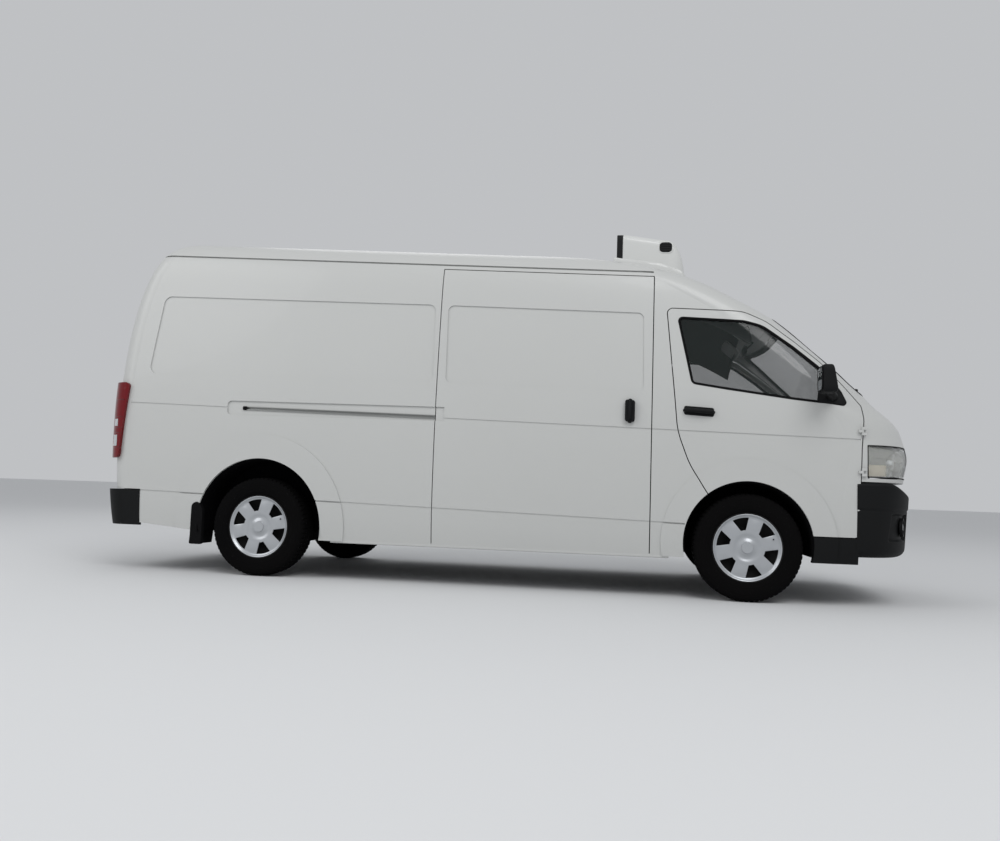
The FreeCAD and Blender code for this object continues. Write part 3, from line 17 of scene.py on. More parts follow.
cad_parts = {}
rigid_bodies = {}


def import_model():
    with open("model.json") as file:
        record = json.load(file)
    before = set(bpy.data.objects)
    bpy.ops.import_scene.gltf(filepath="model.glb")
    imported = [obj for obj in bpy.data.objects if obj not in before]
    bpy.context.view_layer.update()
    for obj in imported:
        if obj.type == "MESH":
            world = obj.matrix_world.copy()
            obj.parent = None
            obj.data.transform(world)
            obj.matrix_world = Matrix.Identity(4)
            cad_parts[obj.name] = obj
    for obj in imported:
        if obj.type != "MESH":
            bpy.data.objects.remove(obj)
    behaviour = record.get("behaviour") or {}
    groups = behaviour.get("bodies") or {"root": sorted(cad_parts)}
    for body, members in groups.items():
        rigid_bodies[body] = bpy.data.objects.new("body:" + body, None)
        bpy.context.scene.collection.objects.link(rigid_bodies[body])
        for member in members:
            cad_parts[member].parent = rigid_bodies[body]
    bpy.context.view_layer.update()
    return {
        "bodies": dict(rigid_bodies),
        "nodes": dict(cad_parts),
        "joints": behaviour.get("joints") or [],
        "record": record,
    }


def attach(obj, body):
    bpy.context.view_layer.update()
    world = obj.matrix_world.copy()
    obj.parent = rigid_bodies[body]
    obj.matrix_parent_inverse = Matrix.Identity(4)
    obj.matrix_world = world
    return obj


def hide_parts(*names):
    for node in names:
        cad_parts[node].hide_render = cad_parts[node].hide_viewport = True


log = logging.getLogger("van")

Array = np.ndarray
Point = tuple[float, float, float]
Corners = tuple[Point, ...]
Limits = tuple[float, float]
Pairs = tuple[Limits, ...]

MILLIMETRE = 0.001


class Side(Enum):
    """A side of the van, with the sign of its Y coordinates."""

    RIGHT = -1
    LEFT = 1

    @property
    def word(self) -> str:
        """The side, as the names of pieces have it."""
        return self.name.lower()

    def flip(self, points: Array) -> Array:
        """Points of the left side, turned over to this one."""
        return points * np.array([1.0, self.value, 1.0])


SIDES = (Side.RIGHT, Side.LEFT)


def linear(hex_colour: str) -> tuple[float, float, float, float]:
    """Turns an sRGB hex colour, such as "E8E9E6", into linear red, green, blue and an alpha of 1."""
    channels = [int(hex_colour[start:start + 2], 16) / 255 for start in (0, 2, 4)]
    red, green, blue = [c / 12.92 if c <= 0.04045 else ((c + 0.055) / 1.055) ** 2.4 for c in channels]
    return red, green, blue, 1.0


def add_node(
    material: bpy.types.Material,
    kind: str,
    settings: dict[str, object] | None = None,
    links: dict[str, bpy.types.NodeSocket] | None = None,
) -> bpy.types.Node:
    """Adds one shader node.

    Args:
        material: the material that gets the node.
        kind: the node's type, such as "ShaderNodeTexNoise".
        settings: values by name, of the node's own properties or of its input sockets.
        links: output sockets to join, by the name of this node's input.

    Returns:
        The new node.
    """
    node = material.node_tree.nodes.new(kind)
    for name, value in (settings or {}).items():
        if name in node.inputs:
            node.inputs[name].default_value = value
        else:
            setattr(node, name, value)
    for name, socket in (links or {}).items():
        material.node_tree.links.new(socket, node.inputs[name])
    return node


@dataclass(frozen=True)
class Finish:
    """A finish with a noise-grained surface.

    slot is the record's material slot that it is taken from; it is not used here. Each colour is sRGB hex. spread is
    how far the grain moves the roughness either way, grain_mm the grain's size and cloud_m that of the slow change of
    colour.
    """

    name: str
    slot: str
    colour: str
    shade: str
    roughness: float
    spread: float
    metallic: float = 0.0
    coat: float = 0.0
    grain_mm: float = 2.0
    bump: float = 0.0
    cloud_m: float = 0.6
    transmission: float = 0.0
    alpha: float = 1.0
    ior: float = 1.5

    def build(self) -> bpy.types.Material:
        """Makes the material, once for each name."""
        found = bpy.data.materials.get(self.name)
        if found:
            return found
        material = bpy.data.materials.new(self.name)
        material.use_nodes = True
        shader, join = material.node_tree.nodes["Principled BSDF"], material.node_tree.links.new
        here = add_node(material, "ShaderNodeTexCoord").outputs["Object"]
        grain_size = self.grain_mm * MILLIMETRE
        clouds, grain = [
            add_node(material, "ShaderNodeTexNoise", {"Scale": 1 / size, "Detail": detail}, {"Vector": here})
            for size, detail in ((self.cloud_m, 3.0), (grain_size, 2.0))]
        tint = add_node(material, "ShaderNodeMix", {"data_type": "RGBA"}, {"Factor": clouds.outputs["Fac"]})
        tint.inputs[6].default_value = linear(self.colour)
        tint.inputs[7].default_value = linear(self.shade)
        join(tint.outputs[2], shader.inputs["Base Color"])
        limits = {"To Min": self.roughness - self.spread, "To Max": self.roughness + self.spread}
        rough = add_node(material, "ShaderNodeMapRange", limits, {"Value": grain.outputs["Fac"]})
        join(rough.outputs["Result"], shader.inputs["Roughness"])
        if self.bump:
            bump = add_node(material, "ShaderNodeBump", {"Strength": self.bump, "Distance": grain_size},
                            {"Height": grain.outputs["Fac"]})
            join(bump.outputs["Normal"], shader.inputs["Normal"])
        values = {"Metallic": self.metallic, "Coat Weight": self.coat, "Alpha": self.alpha,
                  "Transmission Weight": self.transmission}
        if not self.metallic:
            values["IOR"] = self.ior
        for name, value in values.items():
            shader.inputs[name].default_value = value
        return material


# White acrylic enamel over steel: a clear gloss with the faintest warm clouding
BODY_ENAMEL = Finish("white_enamel", "body_paint", "C3C4C2", "BDBEBC", 0.38, 0.03, coat=0.12, grain_mm=0.8,
                     bump=0.004, cloud_m=1.4)
# Grained black polypropylene, moulded: a soft broken sheen
BLACK_MOULDING = Finish("black_polypropylene", "black_trim", "0E0F10", "141516", 0.62, 0.08, grain_mm=1.2,
                        bump=0.25, ior=1.25)
# The same plastic in grey, for the cab: matt, so that the inside stays quiet
GREY_MOULDING = Finish("grey_polypropylene", "grey_plastic", "6A6D70", "5F6265", 0.6, 0.08, grain_mm=1.5, bump=0.2)
# Tempered glass with a slight green-grey tint
WINDOW_GLASS = Finish("tinted_tempered_glass", "window_glass", "222B29", "1D2624", 0.03, 0.01, coat=0.6,
                      alpha=0.27, ior=1.52)
# The glass over the insulated tailgate, blanked from behind: black, with a clear reflection
TONED_GLASS = Finish("deep_toned_glass", "window_glass", "131817", "101413", 0.05, 0.01, coat=0.6, ior=1.45)
# Clear lamp plastic with some light in it
LAMP_LENS = Finish("clear_polycarbonate", "lamp_clear", "E4E8EA", "D6DADD", 0.08, 0.02, coat=0.5, transmission=0.35)
# Deep red lamp plastic, unlit: dark in its body with a wet shine
RED_LENS = Finish("red_acrylic", "lamp_red", "700913", "62070F", 0.14, 0.03, coat=0.25, ior=1.3)
# Soft rubber: nearly black, and almost without shine. The thin ring round each headlamp's cover also takes it, as
# painted shadow.
SEAL_RUBBER = Finish("black_rubber", "seal_rubber", "0B0B0C", "101011", 0.78, 0.06, grain_mm=1.0, bump=0.15, ior=1.2)
# Brushed steel: a bright but broken line of light
RAIL_STEEL = Finish("brushed_steel_rail", "rail_metal", "A7A8A6", "949593", 0.35, 0.08, metallic=1.0, grain_mm=0.6,
                    bump=0.03)
# Moulded fibreglass with a faint orange-peel surface
LINING = Finish("white_fibreglass_lining", "insulated_lining", "DADBD8", "CDCECB", 0.45, 0.05, grain_mm=3.0,
                bump=0.08)
# Worn aluminium plate: grey, with dull lights
FLOOR_LINING = Finish("ribbed_aluminium_floor", "floor_lining", "9EA1A3", "8D9092", 0.45, 0.1, metallic=0.9,
                      bump=0.1)
# Woven cloth: dark and deep, with no shine at all
SEAT_CLOTH = Finish("woven_seat_cloth", "seat_cloth", "3B3D42", "33353A", 0.9, 0.05, bump=0.5)
# Brushed-on chassis paint: black with a slight brown dust
CHASSIS_PAINT = Finish("black_chassis_paint", "chassis_paint", "111112", "181716", 0.65, 0.1, grain_mm=2.5, bump=0.2,
                       ior=1.25)
# Sand-cast iron: coarse and brown-grey
CAST_IRON = Finish("cast_iron", "bare_iron", "4A4744", "3C3936", 0.7, 0.1, metallic=0.6, bump=0.35)
# Steel with an aluminium skin, stained by heat
EXHAUST_STEEL = Finish("aluminised_steel", "exhaust_steel", "77726B", "635C54", 0.5, 0.12, metallic=0.9, bump=0.15)
# Tyre rubber: the blackest thing on the van, without a highlight
TYRE_RUBBER = Finish("vulcanised_tyre_rubber", "tyre_rubber", "09090A", "0E0D0D", 0.9, 0.05, grain_mm=1.5, bump=0.2,
                     ior=1.13)
# Wheel-house liners of needled felt and plastic: dull black that takes no shine
ARCH_FELT = Finish("needled_felt", "black_trim", "08080A", "0C0C0D", 0.95, 0.03, grain_mm=2.5, bump=0.4, ior=1.15)
# Turned iron that the pads keep bright
BRAKE_IRON = Finish("machined_brake_iron", "bare_iron", "5A5856", "4B4947", 0.4, 0.08, metallic=0.9, grain_mm=0.8,
                    bump=0.05)
# The darker dividing ribs of the tail lamps
RED_RIB = Finish("dark_red_acrylic", "lamp_red", "5E080D", "52070B", 0.2, 0.04, coat=0.4)
# A frosted corner lens, faintly warm from the bulb behind it
TURN_LENS = Finish("frosted_turn_lens", "lamp_clear", "C9C3B4", "BDB6A6", 0.3, 0.05, grain_mm=3.0, bump=0.2, coat=0.3)
# Aluminium vapour on plastic: a soft mirror
LAMP_BOWL = Finish("vacuum_metallised_bowl", "lamp_clear", "C2C2BC", "B6B6AF", 0.22, 0.04, metallic=0.9)
# Frosted glass, pale against the bowl
BULB_GLASS = Finish("frosted_bulb_glass", "lamp_clear", "E9EBEA", "DFE1E0", 0.25, 0.03)
# Fluted glass: its surface scatters the light into small lines
FOG_LENS = Finish("fluted_fog_glass", "lamp_clear", "C3C8CA", "B4B9BC", 0.12, 0.04, grain_mm=4.0, bump=0.2, coat=0.5)
# Silver behind clear glass: the sharpest reflection here
MIRROR_SILVER = Finish("silvered_glass", "window_glass", "C8CDD0", "C0C5C8", 0.02, 0.01, metallic=1.0)
# A thin clear cover: it hides little of the bowls behind it
LAMP_COVER = Finish("clear_polycarbonate_cover", "lamp_clear", "F2F4F5", "EEF0F1", 0.04, 0.01, coat=0.2,
                    transmission=0.9, alpha=0.3, ior=1.2)
# The cab's roof and bulkhead trim: dull grey felt, which the photograph shows as shade behind the window
HEAD_LINING = Finish("grey_needled_headlining", "grey_plastic", "4A4D4C", "414443", 0.92, 0.04, bump=0.4)
# Smooth dark plastic deep in a vent: only a thin satin edge shows. On the roof unit's vent plates and slats and on the
# coil's frame this near-black is painted shade, the shade inside those openings; on the dials it is their own black.
DARK_SHADE = Finish("black_satin_plastic", "black_trim", "0D0E10", "121315", 0.5, 0.06, ior=1.3)
# Thin aluminium fins, a few to the centimetre and darkened by dust
COIL_FINS = Finish("aluminium_fins", "rail_metal", "6C7073", "5B5F62", 0.5, 0.1, metallic=0.7, grain_mm=1.0, bump=0.1)
# Silver lacquer with fine flake: it brightens where the light meets it
WHEEL_SILVER = Finish("silver_wheel_enamel", "wheel_silver", "B9BCBF", "ABAEB2", 0.32, 0.05, metallic=0.55,
                      grain_mm=0.8, bump=0.02)
# Moulded gelcoat: a cleaner, harder white than the body's
UNIT_WHITE = Finish("white_gelcoat", "unit_white", "CFD0CE", "C8C9C7", 0.35, 0.04, coat=0.3, grain_mm=1.0, bump=0.01)
# The studio's floor: pale, dull and even
FLOOR_GREY = Finish("studio_floor", "grey_plastic", "D9DADB", "D9DADB", 0.9, 0.02, cloud_m=5.0)

NODE_FINISHES: dict[str, Finish] = {node: finish for finish, nodes in (
    (BODY_ENAMEL, "side_left side_right roof front_panel bonnet door_right door_left sliding_door tailgate"),
    (BLACK_MOULDING, "sliding_door_trim grille front_bumper rear_bumper front_steps door_right_trim door_left_trim"),
    (BLACK_MOULDING, "steering_wheel unit_fan_right unit_fan_left"),
    (GREY_MOULDING, "cab_floor dashboard"),
    (WINDOW_GLASS, "windscreen door_right_glass door_left_glass"),
    (CHASSIS_PAINT, "rim_front_right rim_front_left rim_rear_right rim_rear_left"),
    (CHASSIS_PAINT, "rear_axle suspension chassis fuel_tank"),
    (TYRE_RUBBER, "tyre_front_right tyre_front_left tyre_rear_right tyre_rear_left"),
    (CAST_IRON, "knuckle_right knuckle_left engine"),
    (SEAT_CLOTH, "driver_seat passenger_bench"),
    (UNIT_WHITE, "unit_base unit_housing"),
    (RAIL_STEEL, "slide_rail"), (LAMP_LENS, "headlamps"), (RED_LENS, "tail_lamps"), (TONED_GLASS, "tailgate_glass"),
    (FLOOR_LINING, "load_floor"), (HEAD_LINING, "bulkhead"), (EXHAUST_STEEL, "exhaust"),
) for node in nodes.split()}


@dataclass
class Studio:
    """The camera, the pale floor and the soft lamps, each with its place and power."""

    camera_place: Point = (1.0227, -6.1946, 0.6)
    yaw: float = 0.1712
    pitch: float = 0.0844
    roll: float = 0.0344
    focal_pixels: float = 850.0
    picture_width: float = 1000.0
    far: float = 500.0
    floor_radius: float = 200.0
    lamp_size: float = 7.0
    lamp_aim: Point = (0.0, 0.0, 1.0)
    lamps: tuple[tuple[str, Point, float], ...] = (
        ("key", (4.0, -8.0, 9.0), 450.0), ("fill", (-7.0, -6.0, 6.0), 225.0), ("back", (-3.0, 9.0, 8.0), 110.0))
    world_colour: str = "E6E8EB"
    world_strength: float = 0.66

    def camera(self) -> None:
        """Sets the camera where the photograph's was, and makes it the scene's."""
        ahead = math.cos(self.pitch)
        look = Vector((-math.sin(self.yaw) * ahead, math.cos(self.yaw) * ahead, math.sin(self.pitch)))
        level = Vector((math.cos(self.yaw), math.sin(self.yaw), 0.0))
        upright = level.cross(look)
        across = level * math.cos(self.roll) + upright * math.sin(self.roll)
        up = upright * math.cos(self.roll) - level * math.sin(self.roll)
        data = bpy.data.cameras.new("camera")
        data.sensor_fit = "HORIZONTAL"
        data.lens = data.sensor_width * self.focal_pixels / self.picture_width
        data.clip_end = self.far
        camera = bpy.data.objects.new("camera", data)
        bpy.context.scene.collection.objects.link(camera)
        axes = Matrix((across, up, -look)).transposed().to_4x4()
        camera.matrix_world = Matrix.Translation(self.camera_place) @ axes
        bpy.context.scene.camera = camera

    def floor(self) -> None:
        """Lays the pale round floor under the wheels."""
        turn = full_turn(128)
        rim = points_at(np.cos(turn), np.sin(turn), 0.0) * self.floor_radius
        mesh = bpy.data.meshes.new("floor")
        mesh.from_pydata(rim.tolist(), [], [tuple(range(len(rim)))])
        mesh.materials.append(FLOOR_GREY.build())
        floor = bpy.data.objects.new("floor", mesh)
        bpy.context.scene.collection.objects.link(floor)

    def hang_lamps(self) -> None:
        """Hangs the soft round lamps, which all face the van's middle."""
        for name, place_of, power in self.lamps:
            data = bpy.data.lights.new(name, "AREA")
            data.shape = "DISK"
            data.size = self.lamp_size
            data.energy = power
            lamp = bpy.data.objects.new(name, data)
            lamp.location = place_of
            lamp.rotation_mode = "QUATERNION"
            lamp.rotation_quaternion = (Vector(self.lamp_aim) - Vector(place_of)).to_track_quat("-Z", "Y")
            bpy.context.scene.collection.objects.link(lamp)

    def build(self) -> None:
        """Sets up the whole studio, in even pale light."""
        self.camera()
        self.floor()
        self.hang_lamps()
        world = bpy.data.worlds.new("studio")
        world.use_nodes = True
        background = world.node_tree.nodes["Background"]
        background.inputs["Color"].default_value = linear(self.world_colour)
        background.inputs["Strength"].default_value = self.world_strength
        bpy.context.scene.world = world


@dataclass(frozen=True)
class Form:
    """Points and faces of one surface, as whole arrays."""

    points: Array
    faces: Array

    def moved(self, centre: Array, axes: Array = np.eye(3)) -> "Form":
        """The form with its own axes turned to the rows of axes, and its origin moved to centre."""
        return Form(self.points @ axes + centre, self.faces)


def unit(vectors: Array) -> Array:
    """Vectors along the last axis, brought to length 1."""
    return vectors / np.linalg.norm(vectors, axis=-1, keepdims=True)


def full_turn(steps: int) -> Array:
    """Even steps round a whole turn, without its end."""
    return np.linspace(0, 2 * np.pi, steps, endpoint=False)


def raised(flat: Array, axis: int, level: Array | float) -> Array:
    """Flat points in the frame: their two values in the other two axes, and a level on this one."""
    grid = np.zeros((*flat.shape[:-1], 3))
    grid[..., [other for other in range(3) if other != axis]] = flat
    grid[..., axis] = level
    return grid


def points_at(x: Array | float, y: Array | float, z: Array | float) -> Array:
    """Points from their three coordinates, each spread over the others' rows and columns."""
    return np.stack(np.broadcast_arrays(x, y, z), axis=-1)


def grid_form(grid: Array, wrap: tuple[bool, bool] = (False, False), keep: Array | None = None) -> Form:
    """Joins neighbouring points of a grid with four-cornered faces.

    Args:
        grid: points in rows and columns, (rows, columns, 3).
        wrap: whether the last row joins the first, and the last column the first.
        keep: which faces stay, by row and column.

    Returns:
        The surface.
    """
    index = np.arange(grid.shape[0] * grid.shape[1]).reshape(grid.shape[:2])
    if wrap[0]:
        index = np.vstack([index, index[:1]])
    if wrap[1]:
        index = np.hstack([index, index[:, :1]])
    faces = np.stack([index[:-1, :-1], index[1:, :-1], index[1:, 1:], index[:-1, 1:]], axis=-1)
    faces = faces.reshape(-1, 4) if keep is None else faces[keep]
    return Form(grid.reshape(-1, 3), faces)


def closed_tube(grid: Array) -> Form:
    """A tube whose rows are closed rings; both ends are drawn together to a point on their middles."""
    ends = [np.repeat(grid[[row]].mean(axis=1, keepdims=True), grid.shape[1], axis=1) for row in (0, -1)]
    return grid_form(np.concatenate([ends[0], grid, ends[1]]), (False, True))


def walled(outer: Array, inner: Array) -> list[Form]:
    """Two sheets of the same grid, one behind the other, joined round all their edges."""
    ends = [grid_form(np.concatenate([outer[:, [column]], inner[:, [column]]], axis=1)) for column in (0, -1)]
    return [grid_form(np.concatenate([outer, inner[::-1]]), (True, False)), *ends]


def place(
    name: str,
    forms: list[Form],
    finish: Finish,
    body: str = "root",
    crease: float = 35.0,
    replaced: tuple[str, ...] = (),
) -> bpy.types.Object:
    """Makes one piece of the van from its surfaces and lets it ride on a body.

    Args:
        name: the piece's name.
        forms: the surfaces that it is made of.
        finish: its finish.
        body: the body that it rides on.
        crease: the angle in degrees past which an edge is sharp.
        replaced: the solids that it stands for.

    Returns:
        The piece.
    """
    starts = np.cumsum([0] + [len(form.points) for form in forms])
    points = np.concatenate([form.points for form in forms])
    faces = np.concatenate([form.faces + start for form, start in zip(forms, starts)])
    mesh = bpy.data.meshes.new(name)
    mesh.from_pydata(points.tolist(), [], faces.tolist())
    shape = bmesh.new()
    shape.from_mesh(mesh)
    bmesh.ops.remove_doubles(shape, verts=shape.verts, dist=1e-5)
    bmesh.ops.dissolve_degenerate(shape, edges=shape.edges, dist=1e-6)
    bmesh.ops.recalc_face_normals(shape, faces=shape.faces)
    shape.to_mesh(mesh)
    shape.free()
    mesh.shade_smooth()
    mesh.set_sharp_from_angle(angle=math.radians(crease))
    mesh.materials.append(finish.build())
    piece = bpy.data.objects.new(name, mesh)
    bpy.context.scene.collection.objects.link(piece)
    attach(piece, body)
    if replaced:
        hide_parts(*replaced)
    log.info("%s: %d faces on %s", name, len(mesh.polygons), body)
    return piece


def rectangle(first: Limits, second: Limits, radius: float) -> Corners:
    """The (a, b, radius) corners of a rectangle between two limits on each axis."""
    (low_a, high_a), (low_b, high_b) = first, second
    return (low_a, low_b, radius), (high_a, low_b, radius), (high_a, high_b, radius), (low_a, high_b, radius)


def outline_of(corners: Corners, count: int, steps: int = 7) -> Array:
    """A closed outline of (a, b, radius) corners, in evenly spaced points.

    Each corner becomes an arc that touches both of its sides: the arc's centre lies on the corner's bisector at
    radius / sin(half the corner's angle), and its points turn evenly from one side to the other.

    Args:
        corners: the corners in order, with their radii.
        count: the points of the outline.
        steps: the points of each arc before they are spaced.

    Returns:
        The outline's points, (count, 2).
    """
    at = np.array([corner[:2] for corner in corners])
    radius = np.maximum(np.array([corner[2] for corner in corners]), 1e-6)[:, None]
    back, on = unit(np.roll(at, 1, axis=0) - at), unit(np.roll(at, -1, axis=0) - at)
    half = np.arccos(np.clip((back * on).sum(axis=1), -1, 1))[:, None] / 2
    centre = at + unit(back + on) * radius / np.sin(half)
    first = at + back * radius / np.tan(half) - centre
    last = at + on * radius / np.tan(half) - centre
    start = np.arctan2(first[:, 1], first[:, 0])
    sweep = (np.arctan2(last[:, 1], last[:, 0]) - start + np.pi) % (2 * np.pi) - np.pi
    turn = start[:, None] + sweep[:, None] * np.linspace(0, 1, steps)[None]
    arcs = centre[:, None] + radius[:, :, None] * np.stack([np.cos(turn), np.sin(turn)], axis=-1)
    path = arcs.reshape(-1, 2)
    run = np.vstack([path, path[:1]])
    along = np.concatenate([[0], np.cumsum(np.linalg.norm(np.diff(run, axis=0), axis=1))])
    even = np.linspace(0, along[-1], count, endpoint=False)
    return np.stack([np.interp(even, along, run[:, axis]) for axis in (0, 1)], axis=-1)


def outward(path: Array) -> Array:
    """Unit normals of a closed flat path: its direction at each point, turned a quarter away from its middle."""
    along = np.roll(path, -1, axis=0) - np.roll(path, 1, axis=0)
    normal = unit(np.stack([along[:, 1], -along[:, 0]], axis=-1))
    return normal * np.sign(((path - path.mean(axis=0)) * normal).sum())


def strip(outline: Array, section: Pairs, stretch: float = 1.0) -> tuple[Array, Array, Array]:
    """Places a narrow section round an outline.

    Args:
        outline: the outline's points, (n, 2).
        section: (distance outwards, height) points of the strip's cross section.
        stretch: what the distances outwards are multiplied by.

    Returns:
        The strip's points in the outline's two axes, and their heights, each (n, m).
    """
    out, high = np.array(section).T
    flat = outline[:, None] + outward(outline)[:, None] * (out * stretch)[None, :, None]
    return flat[..., 0], flat[..., 1], np.broadcast_to(high, flat.shape[:2])


def bead(outline: Array, axis: int, at: float, wide: float, high: float, shift: float = 0.0) -> Form:
    """A round bead along a flat outline.

    Args:
        outline: the outline in the frame's other two axes, (n, 2).
        axis: the axis across it.
        at: the bead's place on that axis.
        wide: its half width in the outline's plane.
        high: its half height across it.
        shift: how far outside the outline its middle runs.

    Returns:
        The bead.
    """
    turn = full_turn(10)
    section = np.stack([wide * np.cos(turn) + shift, at + high * np.sin(turn)], axis=-1)
    first, second, level = strip(outline, section)
    return grid_form(raised(np.stack([first, second], axis=-1), axis, level), (True, True))


def lathe(profile: Array, centre: Array, axis: int, steps: int) -> Form:
    """Turns a closed profile about an axis of the frame: radius times (cos, sin), at its distance along it.

    Args:
        profile: (radius, along) points.
        centre: the point on the axis that along is measured from.
        axis: 0, 1 or 2 for X, Y or Z.
        steps: the points round each ring.

    Returns:
        The turned surface.
    """
    turn = full_turn(steps)
    grid = np.zeros((len(profile), steps, 3))
    grid[..., axis] = profile[:, 1:2]
    grid[..., (axis + 1) % 3] = profile[:, :1] * np.cos(turn)
    grid[..., (axis + 2) % 3] = profile[:, :1] * np.sin(turn)
    return grid_form(grid + centre, (True, True))


def pipe(path: Array | Corners, radius: float | Array, sides: int = 14, flat: float = 1.0) -> Form:
    """A closed round bar along an open path.

    Each ring is the path's point plus radius times (cos of the turn across, flat times sin of the turn up).

    Args:
        path: the bar's middle line, (n, 3).
        radius: its radius, one for all or one for each point.
        sides: the points round each ring.
        flat: the ring's height as a share of its width.

    Returns:
        The bar.
    """
    path = np.asarray(path, float)
    along = unit(np.gradient(path, axis=0))
    spare = np.where(np.abs(along[:, 2:3]) < 0.9, np.array([[0.0, 0.0, 1.0]]), np.array([[1.0, 0.0, 0.0]]))
    across = unit(np.cross(along, spare))
    up = np.cross(across, along)
    turn = full_turn(sides)[None, :, None]
    size = np.broadcast_to(np.asarray(radius, float), (len(path),))[:, None, None]
    return closed_tube(path[:, None] + size * (across[:, None] * np.cos(turn) + flat * up[:, None] * np.sin(turn)))


def soft_block(centre: Point, half: Point, power: float, rows: int = 24, columns: int = 48) -> Form:
    """A rounded block: each axis of a ball is raised to a power, which pushes its surface out towards a box.

    Args:
        centre: its middle.
        half: half its size along X, Y and Z.
        power: from 1 for a ball to 0 for a sharp box.
        rows: the rows from bottom to top.
        columns: the points of each row.

    Returns:
        The block.
    """
    up, around = np.linspace(-np.pi / 2, np.pi / 2, rows)[:, None], full_turn(columns)[None]
    waves = [np.cos(up), np.sin(up), np.cos(around), np.sin(around)]
    out, rise, ahead, aside = [np.sign(wave) * np.abs(wave) ** power for wave in waves]
    return grid_form(points_at(out * ahead, out * aside, rise) * np.array(half) + np.array(centre), (False, True))


def slab(outline: Array, axis: int, low: float, high: float, edge: float) -> Form:
    """A flat plate over an outline in the two other axes, with its rims drawn in by edge.

    Args:
        outline: the outline in the frame's other two axes, in order, (n, 2).
        axis: the axis across the plate.
        low: one face's place on that axis.
        high: the other's.
        edge: the width of the slope round each face.

    Returns:
        The plate.
    """
    middle, inner = outline.mean(axis=0) + 0 * outline, outline - outward(outline) * edge
    rings = [(middle, low), (inner, low), (outline, low + edge), (outline, high - edge), (inner, high), (middle, high)]
    return grid_form(np.stack([raised(ring, axis, level) for ring, level in rings]), (False, True))


def tilt_axes(tilt: float) -> Array:
    """The axes of a form that is turned back about Y, in radians."""
    return np.array([[math.cos(tilt), 0.0, -math.sin(tilt)], [0.0, 1.0, 0.0], [math.sin(tilt), 0.0, math.cos(tilt)]])


